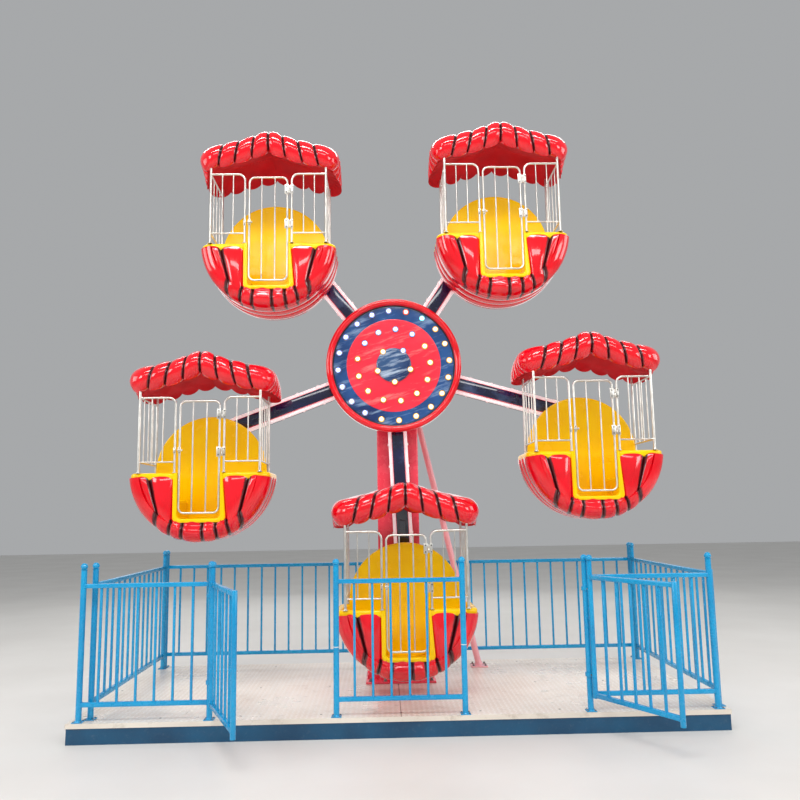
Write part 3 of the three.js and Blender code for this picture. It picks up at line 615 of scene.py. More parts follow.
def canopyStations():
    # round the outline: where, which way is out, place in the lobe, lobe width, painted or not
    c = canopy
    straight = c["halfWidth"] - c["corner"]
    bend = c["corner"] * pi / 2
    side = 2 * (c["halfDepth"] - c["corner"])
    half = 2 * straight + 2 * bend + side
    frontY = c["middleY"] - c["halfDepth"]

    def pointAt(s):
        if s < straight:
            return s, frontY, 0.0, -1.0
        if s < straight + bend:
            turn = (s - straight) / c["corner"]
            return (straight + c["corner"] * sin(turn), frontY + c["corner"] * (1 - cos(turn)),
                    sin(turn), -cos(turn))
        return c["halfWidth"], frontY + c["corner"] + s - straight - bend, 1.0, 0.0

    front = list(c["frontCreases"])
    sides = [straight + bend + y - (frontY + c["corner"]) for y in c["sideCreases"]]
    edges = front + sides + [half - s for s in reversed(front)]
    painted = [True] * 4 + [False] * 5 + [True] * 4
    stations = []
    for i, count in enumerate(c["lobeColumns"]):
        for q in lobePositions(count):
            s = mix(edges[i], edges[i + 1], q)
            x, y, nx, ny = pointAt(min(s, half - s))
            if s > half / 2:
                y, ny = 2 * c["middleY"] - y, -ny
            width = edges[i + 1] - edges[i]
            lined = painted[i] if q < 0.5 else painted[i + 1]
            stations.append((x, y, nx, ny, q, width, lined))
    stations.append((0.0, c["middleY"] + c["halfDepth"], 0.0, 1.0, 0.0, width, True))
    left = [(-x, y, -nx, *rest) for x, y, nx, *rest in reversed(stations[1:-1])]
    return stations + left + stations[:1]


def canopyShape(x, crown=0.0):
    # 0 in the middle and 1 from the shoulders on; crown rounds the middle off
    x = sqrt(x * x + crown * crown) - crown
    return 1 - (1 - min(abs(x) / canopy["shoulder"], 1)) ** 1.5


def lobeHeight(q):
    return (1 - (2 * q - 1) ** 2) ** 0.6 if 0 < q < 1 else 0.0


def canopyHeights(x, y):
    c = canopy
    share = canopyShape(x)
    towardsBack = smooth((y - c["middleY"] + 0.16) / 0.32)
    front = c["frontLip"] - c["frontDrop"] * share
    back = c["backLip"] - c["backDrop"] * min(abs(x) / c["shoulder"], 1) ** 1.4
    top = c["top"] - c["topDrop"] * canopyShape(x, c["crown"])
    return top, mix(front, back, towardsBack), towardsBack


def canopyPoint(station, share):
    # share: 0 on the crown and 1 at the lip
    c = canopy
    x, y, nx, ny, q, width = station[:6]
    top, lip, towardsBack = canopyHeights(x, y)
    lipAngle = radians(mix(*c["lipAngle"], towardsBack))
    angle = share * lipAngle
    tall = (top - lip) / (1 - cos(lipAngle))
    high = lobeHeight(q)
    fromCrease = min(q, 1 - q) * width
    notch = c["notch"] * max(1 - fromCrease / c["notchHalf"], 0)
    swell = c["bulge"] * high * min(width / 0.12, 1) - notch
    out = c["roll"] * sin(angle) + swell * sin(angle) - c["roll"]
    z = top - tall + (tall + swell) * cos(angle)
    towardsLip = smooth((share - 0.7) / 0.27)
    z -= towardsLip * high ** mix(1, 1.6, towardsBack) * mix(*c["lipBulge"], towardsBack)
    lean = (1 - share) * min(abs(x) / 0.25, 1) * abs(ny)
    return Vector((x + nx * out - copysign(c["bend"] * lean, x), y + ny * out, z)), fromCrease


def buildCanopyMesh():
    c = canopy
    stations = canopyStations()
    rows = c["rollRows"] + c["roofRows"]

    def ridgeEnd(crown, height):
        x = crown.x * c["ridgeShare"]
        return Vector((x, c["middleY"], height - c["topDrop"] * canopyShape(x, c["crown"])))

    def outside(i, j):
        station = stations[i]
        lined = 1.0 if station[6] else 0.0
        if j <= c["rollRows"]:
            place, fromCrease = canopyPoint(station, 1 - j / c["rollRows"])
            fade = mix(c["creaseFade"], 1.0, smooth(j / 6))
        else:
            r = (j - c["rollRows"]) / c["roofRows"]
            crown, fromCrease = canopyPoint(station, 0.0)
            place = crown.lerp(ridgeEnd(crown, c["top"]), r)
            high = c["bulge"] * c["roofBulge"] * lobeHeight(station[4])
            place.z += c["roofRise"] * sin(pi * r) + high * r * (1 - r)
            fade = mix(1.0, 0.6, r)
        return place, lined * fade * max(1 - fromCrease / c["paintReach"], 0)

    def inside(i, j):
        # only the first row follows the lobes
        station = stations[i] if j == 0 else (*stations[i][:4], 0.0, 0.1, False)
        lip = canopyPoint(station, 1.0)[0]
        end = ridgeEnd(canopyPoint(station, 0.0)[0], c["ceiling"])
        w = j / c["underRows"]
        place = lip.lerp(end, w)
        ceiling = c["ceiling"] - c["topDrop"] * canopyShape(place.x)
        place.z = mix(lip.z, ceiling, 1 - (1 - w) ** 1.4)
        return place, 0.0

    shell = bmesh.new()
    shell.verts.layers.float.new("groove")
    addPart(shell, mapGrid(len(stations) - 1, rows, outside))
    addPart(shell, mapGrid(len(stations) - 1, c["underRows"], inside), material=1)
    bmesh.ops.remove_doubles(shell, verts=shell.verts, dist=1e-5)
    bmesh.ops.recalc_face_normals(shell, faces=shell.faces)
    return takeMesh("canopyShell", shell, ("shellRed", "shellUnder"), 60)


# Tub: round-bottomed shell with petals in front and long ribs over its barrel

tub = {
    "radius": 0.566,
    "barrel": 0.588,
    "faceRadius": 0.486,
    "frontY": -0.62,
    "ribStart": -0.54,
    "ribEnd": -0.14,
    "backY": -0.08,
    "rim": 0.497,
    "endRim": 0.518,
    "scallop": {1: 0.024, 6: 0.024},
    "pillow": 0.014,
    # painted grooves and doorway edges: x on the rim, at the bottom of the face and on the barrel
    "grooves": ((-0.41, -0.338, -0.326), (-0.212, -0.222, -0.228), (-0.122, -0.128, -0.130),
                (0.032, 0.034, 0.034), (0.137, 0.143, 0.145), (0.192, 0.234, 0.240),
                (0.41, 0.338, 0.326)),
    "sillCut": 0.158,
    "lowestSill": 0.955,  # share of the face's height
    "tuck": 0.004,
    "tuckDepth": 0.06,
    "ribs": 3,
    "ribDip": 0.03,
    "firstRib": 0.6,  # its front half starts with a shallower groove
    "bulge": 0.019,
    "ribBulge": 0.016,
    "notch": 0.005,
    "notchHalf": 0.008,
    "lobeBase": 0.55,  # share of a lobe's bulge that lies under the plain round
    "endLobe": 0.012,
    "endPaint": 1.6,
    "wall": 0.006,
    "paintReach": 0.034,
}
tubRows = {"face": 13, "foot": 3, "roll": 6, "rib": 9, "backRoll": 4, "back": 12}


def tubKeys():
    # grooves from left to right, with the two ends of the rim
    t = tub
    endAngle = acos((t["radius"] - t["endRim"]) / t["faceRadius"])
    endX = t["faceRadius"] * sin(endAngle)
    keys = [(-endX, -endAngle, -endAngle)]
    for rimX, footX, barrelX in t["grooves"]:
        keys.append((rimX, asin(footX / t["faceRadius"]), asin(barrelX / t["radius"])))
    return keys + [(endX, endAngle, endAngle)]


def tubColumns():
    # one entry per column: the groove on its left and how far it is towards the next one
    left = [0, 0.05, 0.17, 0.32, 0.5, 0.68, 0.84, 0.95]
    right = [1 - q for q in reversed(left[1:])] + [1]
    right = [0] + right[:-1]
    spread = {0: lobePositions(12), 1: lobePositions(14), 2: left, 3: lobePositions(9),
              4: lobePositions(7), 5: right, 6: lobePositions(14), 7: lobePositions(12)}
    columns = [(lobe, q) for lobe in range(8) for q in spread[lobe]]
    return columns + [(7, 1.0)]


def buildTubShell():
    t = tub
    keys = tubKeys()
    columns = tubColumns()
    rows = [(part, j / tubRows[part]) for part in ("face", "foot", "roll")
            for j in range(tubRows[part])]
    rows += [("rib%d" % rib, q) for rib in range(t["ribs"]) for q in lobePositions(tubRows["rib"])]
    rows += [("backRoll", j / tubRows["backRoll"]) for j in range(tubRows["backRoll"])]
    rows += [("back", j / tubRows["back"]) for j in range(tubRows["back"] + 1)]
    roll = t["barrel"] - t["faceRadius"]
    backRoll = t["backY"] - t["ribEnd"]
    centre = Vector((0, 0, t["radius"]))

    def lobeWidth(lobe, s):
        rim, foot, barrel = [b - a for a, b in zip(keys[lobe], keys[lobe + 1])]
        if s > 1:
            return mix(t["faceRadius"] * foot, t["barrel"] * barrel, s - 1)
        return mix(rim, t["faceRadius"] * foot, s * s)

    def lineX(key, s):
        rimX, angle = keys[key][:2]
        return mix(rimX, t["faceRadius"] * sin(angle), s)

    def facePoint(lobe, q, s, angle):
        x = mix(lineX(lobe, s), lineX(lobe + 1, s), q)
        footX = t["faceRadius"] * sin(angle)
        x += s * s * (footX - mix(lineX(lobe, 1), lineX(lobe + 1, 1), q))
        top = rimHeight(lobe, q)
        return x, mix(top, t["radius"] - t["faceRadius"] * cos(angle), s)

    def rimHeight(lobe, q):
        if lobe in (0, 7):
            towardsEnd = q if lobe == 7 else 1 - q
            rise = (t["endRim"] - t["rim"]) * towardsEnd
            return t["rim"] + rise + t["endLobe"] * lobeHeight(towardsEnd)
        return t["rim"] + t["scallop"].get(lobe, 0) * lobeHeight(q)

    def pastGrooves(lobe, q):
        # the outer half of both end lobes runs smoothly into the rim's end
        return (lobe == 0 and q < 0.5) or (lobe == 7 and q > 0.5)

    def fromGroove(lobe, q, s):
        # s: 0 on the rim, 1 at the foot of the face and 2 on the barrel
        return 1.0 if pastGrooves(lobe, q) else min(q, 1 - q) * lobeWidth(lobe, s)

    def place(i, j):
        lobe, q = columns[i]
        part, s = rows[j]
        groove = lobe + round(q)  # the nearest one
        overDoor = 2 <= lobe <= 5
        angle = mix(keys[lobe][1], keys[lobe + 1][1], q)
        barrelAngle = mix(keys[lobe][2], keys[lobe + 1][2], q)
        high = 1.0 if pastGrooves(lobe, q) else lobeHeight(q)
        top = rimHeight(lobe, q)
        foot = t["radius"] - t["faceRadius"] * cos(angle)
        sill = min((top - t["sillCut"]) / max(top - foot, 0.02), t["lowestSill"])
        atEnd = (lobe, q) in ((0, 0.0), (7, 1.0))  # here the face and the back shrink to a point
        notch = t["notch"] * max(1 - fromGroove(lobe, q, 0.5) / t["notchHalf"], 0)
        swell = t["bulge"] * (high - t["lobeBase"]) - notch
        if part == "roll":
            barrelAngle = mix(angle, barrelAngle, s)
        out = Vector((sin(barrelAngle), 0, -cos(barrelAngle)))
        paintReach = t["paintReach"] * (t["endPaint"] if groove in (1, 7) else 1)
        lined = max(1 - fromGroove(lobe, q, 1 + s if part == "roll" else 2) / paintReach, 0)
        if part in ("face", "foot"):
            down = s * sill if part == "face" else mix(sill, 1, s)
            down = 1.0 if atEnd else down
            x, z = facePoint(lobe, q, down, angle)
            tucked = t["tuck"] * (1 - smooth(down / t["tuckDepth"]))
            if not overDoor:
                tucked -= t["pillow"] * high * sin(pi * min(down, 1)) ** 0.8
            bare = part == "face" and (overDoor or groove in (2, 6))  # the doorway has no paint line
            lined = 0 if bare else max(1 - fromGroove(lobe, q, down) / paintReach, 0)
            return Vector((x, t["frontY"] - swell + tucked, z)), lined
        if part == "roll":
            turn = s * pi / 2
            reach = roll + swell * mix(1, 0.5, s)
            flat = centre + out * (t["faceRadius"] + reach * sin(turn))
            return flat + Vector((0, t["ribStart"] - reach * cos(turn), 0)), lined
        if part.startswith("rib"):
            rib = int(part[3:])
            span = (t["ribEnd"] - t["ribStart"]) / t["ribs"]
            crown = lobeHeight(s)
            fade = 1 - smooth((rib + s) * 2.2)
            hollow = t["ribBulge"] * (1 - crown)
            if rib == 0 and s < 0.5:
                hollow *= mix(t["firstRib"], 1, s)
            reach = t["barrel"] + swell * 0.5 * fade - hollow
            dip = t["ribDip"] * (1 - crown) * smooth((abs(barrelAngle) - 1.2) / 0.25)
            lean = barrelAngle - copysign(dip, barrelAngle)
            flat = centre + Vector((sin(lean), 0, -cos(lean))) * reach
            paint = lined * mix(0.9, 0.5, s) if rib == 0 else 0
            return flat + Vector((0, t["ribStart"] + (rib + s) * span, 0)), paint
        if part == "backRoll":
            turn = s * pi / 2
            reach = t["barrel"] - t["ribBulge"] * (1 - s) ** 3 - backRoll * (1 - cos(turn))
            flat = centre + out * reach
            return flat + Vector((0, t["ribEnd"] + backRoll * sin(turn) + swell * 0.5 * s, 0)), 0
        up = 1.0 if atEnd else 1 - s
        x, z = facePoint(lobe, q, up, angle)
        edge = (t["barrel"] - backRoll) / t["faceRadius"]
        x, z = x * mix(1, edge, up ** 3), t["radius"] + (z - t["radius"]) * mix(1, edge, up ** 3)
        return Vector((x, t["backY"] + swell * 0.5, z)), 0

    firstCut = columns.index((2, 0.17))
    lastCut = next(i for i, (lobe, q) in enumerate(columns) if lobe == 5 and abs(q - 0.83) < 1e-6)

    def doorway(i, j):
        return firstCut <= i < lastCut and j < tubRows["face"]

    return mapGrid(len(columns) - 1, len(rows) - 1, place, skip=doorway)


def buildTubMesh():
    piece = bmesh.new()
    piece.verts.layers.float.new("groove")
    shell = buildTubShell()
    bmesh.ops.recalc_face_normals(shell, faces=shell.faces)
    lowest = min(shell.faces, key=lambda f: f.calc_center_median().z)
    if lowest.normal.z > 0:
        bmesh.ops.reverse_faces(shell, faces=shell.faces)
    bmesh.ops.solidify(shell, geom=shell.faces[:], thickness=tub["wall"])
    addPart(piece, shell)
    return takeMesh("tubShell", piece, ("shellRed",), 60)


# Yellow inner tub: rim, doorway trim, benches, foot well and the round back

inner = {
    "rimWidth": 0.054,
    "rimHeight": 0.062,
    "rimMiddle": 0.519,
    "rimSoft": 0.022,
    "rimX": 0.552,
    "rimFront": -0.592,
    "rimBack": -0.115,
    "rimCorner": 0.061,
    "trimTop": 0.548,
    "trimFront": -0.628,
    "trimDepth": 0.076,
    "openHalf": 0.176,
    "openBottom": 0.172,
    "openCorner": 0.032,
    "jambTop": (-0.212, 0.192),
    "jambFoot": (-0.210, 0.226),
    "sill": 0.140,
    "sillCorner": 0.045,
    "wallRadius": 0.540,
    "bench": 0.33,
    "wellHalf": 0.205,
    "floor": 0.10,
    "roomFront": -0.556,
    "roomBack": -0.142,
    "soft": 0.024,
    "wall": 0.005,
    "discRadius": 0.490,
    "discMiddle": 0.580,
    "discFront": -0.150,
    "discBack": -0.128,
}


def addDoorTrim(piece):
    # a soft-edged band between the doorway's opening and its outer line
    t = inner
    low, top, half, sill = t["openBottom"], t["trimTop"], t["openHalf"], t["sill"]
    (leftTop, rightTop), (leftFoot, rightFoot) = t["jambTop"], t["jambFoot"]
    opening = roundedPath([(-half, 0, top), (-half, 0, low), (half, 0, low), (half, 0, top)],
                          t["openCorner"], 8)
    outer = roundedPath([(leftTop, 0, top), (leftFoot, 0, sill), (rightFoot, 0, sill),
                         (rightTop, 0, top)], t["sillCorner"], 8)
    # across the band and back from its face
    section = ((0.0, 1.0), (0.0, 0.10), (0.06, 0.03), (0.16, 0.0), (0.5, -0.01), (0.8, 0.0),
               (0.94, 0.03), (1.0, 0.10), (1.0, 1.0), (0.5, 1.0), (0.0, 1.0))

    def place(i, j):
        across, back = section[i]
        at = opening[j].lerp(outer[j], across)
        return Vector((at.x, t["trimFront"] + back * t["trimDepth"], at.z)), 0.0

    addPart(piece, mapGrid(len(section) - 1, len(opening) - 1, place))


def addWallPlate(piece, y, low, high, inside):
    # a flat wall that follows the barrel, from the inside line out to the round
    t = inner

    def place(i, j):
        z = mix(low, high, j / 14)
        reach = sqrt(t["wallRadius"] ** 2 - (tub["radius"] - z) ** 2)
        return Vector((mix(inside, copysign(reach, inside or 1), i / 6), y, z)), 0.0

    plate = mapGrid(6, 14, place)
    bmesh.ops.solidify(plate, geom=plate.faces[:], thickness=t["wall"])
    addPart(piece, plate)


def addRoom(piece):
    # benches on both sides of the foot well, between the barrel's walls
    t = inner
    drop = tub["radius"] - t["bench"]
    benchAngle = acos(drop / t["wallRadius"])
    rimAngle = radians(86)
    arc = [mix(rimAngle, benchAngle, k / 8) for k in range(9)]
    arc = [Vector((t["wallRadius"] * sin(a), 0, tub["radius"] - t["wallRadius"] * cos(a))) for a in arc]
    wide, half, seat, floor = arc[-1].x, t["wellHalf"], t["bench"], t["floor"]
    benches = roundedPath([(-wide, 0, seat), (-half, 0, seat), (-half, 0, floor), (half, 0, floor),
                           (half, 0, seat), (wide, 0, seat)], t["soft"], 5)
    line = [Vector((-p.x, 0, p.z)) for p in arc[:-1]] + benches + list(reversed(arc[:-1]))

    def place(i, j):
        at = line[i]
        return Vector((at.x, mix(t["roomFront"], t["roomBack"], j / 4), at.z)), 0.0

    room = mapGrid(len(line) - 1, 4, place)
    bmesh.ops.solidify(room, geom=room.faces[:], thickness=t["wall"])
    addPart(piece, room)


def buildLinerMesh():
    t = inner
    piece = bmesh.new()
    left, right = t["jambTop"]
    side, front, back = t["rimX"], t["rimFront"], t["rimBack"]
    rim = [(left + 0.012, front), (-side, front), (-side, back), (side, back), (side, front),
           (right - 0.006, front)]
    rim = roundedPath([(x, y, t["rimMiddle"]) for x, y in rim], t["rimCorner"], 8)
    addSweep(piece, softSection(t["rimWidth"], t["rimHeight"], t["rimSoft"], 4), rim, up=(0, 0, 1))
    addDoorTrim(piece)
    addRoom(piece)
    for inside in (left + 0.02, right - 0.01):
        addWallPlate(piece, t["roomFront"], t["floor"], t["rimMiddle"], inside)
    for inside in (-0.001, 0.001):
        addWallPlate(piece, t["roomBack"], 0.04, t["rimMiddle"], inside)
    # the round back, a lathe whose heights run forwards
    radius, low, high = t["discRadius"], -t["discBack"], -t["discFront"]
    profile = [(0, low), (radius - 0.006, low), (radius, low + 0.005), (radius, high - 0.007),
               (radius - 0.003, high - 0.002), (radius - 0.009, high), (radius - 0.02, high),
               (radius * 0.5, high + 0.002), (0, high + 0.003)]
    turn = Matrix.Translation((0, 0, t["discMiddle"])) @ Matrix.Rotation(radians(90), 4, "X")
    addLathe(piece, profile, 72, place=turn)
    return takeMesh("liner", piece, ("yellow",))


# Cage of polished tubes with its hanger

cage = {
    "postX": 0.5,
    "frontY": -0.614,
    "backY": -0.115,
    "postRadius": 0.0110,
    "postTop": 1.330,
    "foot": 0.550,
    "topRail": 1.178,
    "lowerRail": 0.640,
    "tube": 0.0090,
    "rail": 0.0068,
    "bar": 0.0055,
    "stileX": 0.203,
    "corner": 0.06,
    "frontBars": (0.400, 0.305),
    "sideBars": 3,
    "flange": 0.021,
    "flangeHeight": 0.004,
    "flangeScrews": 0.0165,
}


def addBar(piece, start, end, radius=None):
    # a thin bar with a weld collar at each end
    radius = radius or cage["bar"]
    start, end = Vector(start), Vector(end)
    step = (end - start).normalized() * 0.007
    addRod(piece, start, end, radius, sides=10)
    for at, way in ((start, step), (end, -step)):
        addRod(piece, at + way * 0.6, at + way * 1.7, radius * 1.45, sides=10, endRadius=radius * 1.05)


def addScrew(piece, at, towards, radius=0.006, material=1):
    # a domed head with a socket, sat on a small washer
    towards = Vector(towards).normalized()
    turn = Matrix.Translation(at) @ towards.to_track_quat("Z", "Y").to_matrix().to_4x4()
    profile = [(0, 0), (radius * 1.5, 0), (radius * 1.5, radius * 0.22), (radius * 1.02, radius * 0.25),
               (radius, radius * 0.7), (radius * 0.8, radius), (radius * 0.42, radius * 1.08),
               (radius * 0.42, radius * 0.6), (0, radius * 0.6)]
    addLathe(piece, profile, 12, material, turn)


def addHexBolt(piece, at, towards, size, material=1):
    # washer, head and the end of the thread
    at, towards = Vector(at), Vector(towards).normalized() * size
    washer, head, thread = at + towards * 0.16, at + towards * 0.75, at + towards * 1.2
    addRod(piece, at, washer, size * 0.82, material, 16)
    addRod(piece, washer, head, size * 0.58, material, 6, edge=size * 0.05)
    addRod(piece, head, thread, size * 0.28, material, 10)


def addPost(piece, x, y):
    c = cage
    radius, low = c["postRadius"], c["foot"]
    flangeTop = low + c["flangeHeight"]
    addRod(piece, (x, y, low), (x, y, c["postTop"]), radius, sides=14)
    addRod(piece, (x, y, low), (x, y, flangeTop), c["flange"], sides=20, edge=0.001)
    addRod(piece, (x, y, flangeTop), (x, y, low + 0.012), radius * 1.35, sides=14,
           endRadius=radius * 1.05)
    for k in range(3):
        turn = radians(30 + 120 * k)
        at = (x + c["flangeScrews"] * cos(turn), y + c["flangeScrews"] * sin(turn), flangeTop)
        addScrew(piece, at, (0, 0, 1), 0.0026)


def addFrontPanel(piece, side):
    c = cage
    y, low, high = c["frontY"], c["lowerRail"], c["topRail"]
    postX, stileX = side * c["postX"], side * c["stileX"]
    outline = [(postX, y, high), (stileX, y, high), (stileX, y, c["foot"] + 0.001)]
    addSweep(piece, c["tube"], roundedPath(outline, c["corner"], 8), sides=14)
    addRod(piece, (stileX, y, c["foot"]), (stileX, y, c["foot"] + c["flangeHeight"]),
           c["flange"] * 0.85, sides=20, edge=0.001)
    addBar(piece, (postX, y, low), (stileX, y, low), c["rail"])
    for x in c["frontBars"]:
        addBar(piece, (side * x, y, low), (side * x, y, high))


def addSidePanel(piece, side):
    c = cage
    x = side * c["postX"]
    for z in (c["topRail"], c["lowerRail"]):
        addBar(piece, (x, c["frontY"], z), (x, c["backY"], z), c["rail"])
    for k in range(1, c["sideBars"] + 1):
        y = mix(c["frontY"], c["backY"], k / (c["sideBars"] + 1))
        addBar(piece, (x, y, c["lowerRail"]), (x, y, c["topRail"]))


hanger = {
    "halfWidth": 0.065,
    "front": -0.126,
    "back": -0.112,
    "low": 0.60,
    "high": 1.00,
    "pivot": 0.930,
    "bossRadius": 0.046,
    "bossEnd": -0.0045,
    "shaftRadius": 0.025,
    "nutStart": 0.087,
    "nutEnd": 0.115,
    "nutRadius": 0.040,
    "boltX": 0.045,
    "bolts": (0.63, 0.74, 0.97),
}


def addHanger(piece):
    h = hanger
    z, half, back, boss, end = h["pivot"], h["halfWidth"], h["back"], h["bossRadius"], h["bossEnd"]
    # heights of a profile run towards the wheel's back
    place = Matrix.Translation((0, 0, z)) @ Matrix.Rotation(radians(-90), 4, "X")
    addBox(piece, (-half, h["front"], h["low"]), (half, back, h["high"]), 0, 0.004, 2)
    addLathe(piece, [(0, back), (boss + 0.012, back), (boss + 0.002, back + 0.009),
                     (boss, back + 0.016), (boss, end - 0.004), (boss - 0.004, end), (0, end)],
             32, 0, place)
    addRod(piece, (0, end - 0.005, z), (0, h["nutEnd"] + 0.012, z), h["shaftRadius"], sides=24)
    washer = h["nutStart"] + 0.004
    addRod(piece, (0, h["nutStart"], z), (0, washer, z), h["nutRadius"], 1, 28, edge=0.001)
    addRod(piece, (0, washer, z), (0, h["nutEnd"], z), h["nutRadius"] * 0.92, 1, 6, edge=0.002)
    for x in (-h["boltX"], h["boltX"]):
        for boltZ in h["bolts"]:
            addHexBolt(piece, (x, back, boltZ), (0, 1, 0), 0.014)
    rail = (cage["backY"], cage["lowerRail"])
    addBar(piece, (-cage["postX"], *rail), (cage["postX"], *rail), cage["rail"])


door = {
    "halfWidth": 0.1725,
    "low": 0.210,
    "high": 1.155,
    "corner": 0.055,
    "tube": 0.0085,
    "barX": 0.057,
    "hingeX": 0.186,
    "hingeY": -0.622,
    "knuckle": 0.0065,
    "knuckleHeight": 0.034,
    "hinges": (0.720, 1.034),
    "latch": 0.735,
    "latchDepths": (0.0125, 0.0080, 0.0170),  # its plate's face and back, and the bolt
    "leafWidth": 0.030,
    "leafHeight": 0.084,
    "leafHalf": 0.0025,
    "leafScrew": 0.026,
}


def addLeaf(piece, outerX, innerX, z, y, screwX):
    # a hinge plate with two dark screws
    d = door
    low, half = z - d["leafHeight"] / 2, d["leafHalf"]
    left, right = sorted((outerX, innerX))
    addBox(piece, (left, y - half, low), (right, y + half, low + d["leafHeight"]), 0, 0.0012, 2)
    for dz in (-d["leafScrew"], d["leafScrew"]):
        addScrew(piece, (screwX, y - half, z + dz), (0, -1, 0), 0.0044)


def addKeeper(piece):
    # the latch's catch on the cage stile
    x, z = -cage["stileX"], door["latch"]
    face, back, bolt = (cage["frontY"] - depth for depth in door["latchDepths"])
    addBox(piece, (x - 0.011, face, z - 0.024), (x + 0.010, back, z + 0.024), 0, 0.0015, 2)
    addRod(piece, (x, bolt, z - 0.012), (x, bolt, z + 0.012), 0.0065, 0, 12, edge=0.001)
    for dz in (0.019, -0.019):
        addScrew(piece, (x - 0.003, face, z + dz), (0, -1, 0), 0.003)


def buildCageMesh():
    piece = bmesh.new()
    c, d = cage, door
    for side in (-1, 1):
        addPost(piece, side * c["postX"], c["frontY"])
        addPost(piece, side * c["postX"], c["backY"])
        addFrontPanel(piece, side)
        addSidePanel(piece, side)
    addHanger(piece)
    addKeeper(piece)
    x, y = d["hingeX"], d["hingeY"]
    for z in d["hinges"]:
        top = z - 0.0005
        addRod(piece, (x, y, top - d["knuckleHeight"]), (x, y, top), d["knuckle"], 0, 12, edge=0.0008)
        addLeaf(piece, c["stileX"] + 0.012, x + 0.0085, z, y - 0.003, c["stileX"] + 0.003)
    return takeMesh("cage", piece, ("steel", "zinc"))


def buildDoorMesh():
    d = door
    y, tube, half = cage["frontY"], d["tube"], d["halfWidth"] - d["tube"]
    low, high = d["low"] + tube, d["high"] - tube
    piece = bmesh.new()
    corners = [(-half, y, low), (half, y, low), (half, y, high), (-half, y, high)]
    addSweep(piece, tube, roundedPath(corners, d["corner"] - tube, 8, closed=True), sides=14,
             closed=True, up=(0, 1, 0))
    for x in (-d["barX"], d["barX"]):
        addBar(piece, (x, y, low), (x, y, high))
    pinX, pinY, edge = d["hingeX"], d["hingeY"], d["halfWidth"]
    for z in d["hinges"]:
        top = z + d["knuckleHeight"]
        addRod(piece, (pinX, pinY, z), (pinX, pinY, top), d["knuckle"], 0, 12, edge=0.0008)
        addLeaf(piece, edge + 0.004, edge - d["leafWidth"], z, pinY - 0.003, 0.158)
        addRod(piece, (pinX, pinY, top), (pinX, pinY, top + 0.004), d["knuckle"] * 0.7, 1, 10)
    # latch: plate, bolt, its end and the knob
    x, z = -edge, d["latch"]
    face, back, bolt = (y - depth for depth in d["latchDepths"])
    addBox(piece, (x - 0.002, face, z - 0.025), (x + 0.020, back, z + 0.025), 0, 0.0015, 2)
    addRod(piece, (x - 0.008, bolt, z), (x + 0.034, bolt, z), 0.0050, 0, 12, edge=0.001)
    addRod(piece, (x + 0.024, bolt, z), (x + 0.036, bolt, z), 0.0085, 0, 14, edge=0.002)
    addRod(piece, (x + 0.010, bolt, z), (x + 0.010, bolt - 0.015, z), 0.0042, 0, 10, edge=0.001)
    for dz in (-0.019, 0.019):
        addScrew(piece, (x + 0.009, face, z + dz), (0, -1, 0), 0.003)
    return takeMesh("door", piece, ("steel", "zinc"))


# Wheel: hub, arms, lamp disc and its lamps

wheel = {"hubZ": 2.98, "radius": 1.74, "turn": 2.3}
hubPlace = Matrix.Translation((0, 0, wheel["hubZ"]))
facingFront = hubPlace @ Matrix.Rotation(radians(90), 4, "X")  # heights run forwards
facingBack = hubPlace @ Matrix.Rotation(radians(-90), 4, "X")  # heights run backwards

disc = {
    "radius": 0.620,
    "ringOuter": 0.561,
    "ringInner": 0.432,
    "capRadius": 0.155,
    "back": 0.0033,
    "face": 0.070,
    "ring": 0.078,
    "rim": 0.125,
    "rimRise": 0.030,
    "centre": 0.081,
    "cap": 0.097,
}


def buildDisc():
    d = disc
    radius, back, face, centre = d["radius"], d["back"], d["face"], d["centre"]
    outside, inside, rise = d["ringOuter"], d["ringInner"], d["rimRise"]
    piece = bmesh.new()
    middle, half = (radius + outside) / 2, (radius - outside) / 2
    rimArc = [(middle + half * cos(a), d["rim"] - rise + rise * sin(a))
              for a in (radians(v) for v in range(0, 181, 15))]
    profile = [(0, back), (radius - 0.045, back), (radius - 0.012, back + 0.014),
               (radius, back + 0.034), *rimArc, (outside, face), (inside, face),
               (inside, centre - 0.002)]
    addLathe(piece, profile, 96, place=facingFront)
    front = [(inside, centre - 0.002), (inside - 0.0006, centre - 0.0006), (inside - 0.002, centre),
             (inside - 0.006, centre + 0.0001), (inside * 0.5, centre + 0.0005), (0, centre + 0.0008)]
    addLathe(piece, front, 96, 2, facingFront)
    bmesh.ops.remove_doubles(piece, verts=piece.verts, dist=1e-5)
    bmesh.ops.recalc_face_normals(piece, faces=piece.faces)
    # black ring between rim and ring: painted shadow in the corner where they meet
    paintedShadowRing = [(outside - 0.010, face), (outside, face), (outside, face + 0.016),
            (outside - 0.006, face + 0.014), (outside - 0.010, face)]
    addLathe(piece, paintedShadowRing, 96, 1, facingFront)
    # ribs behind the dish
    for k in range(10):
        turn = hubPlace @ Matrix.Rotation(radians(18 + 36 * k), 4, "Y")
        addBox(piece, (0.17, -back, -0.004), (0.56, 0.012, 0.004), 0, 0.001, 1, turn)
    finishPiece("lamp_disc_shell", piece, ("shellRed", "black", "discFace"), "wheel", "red_shell",
                "lamp_disc")


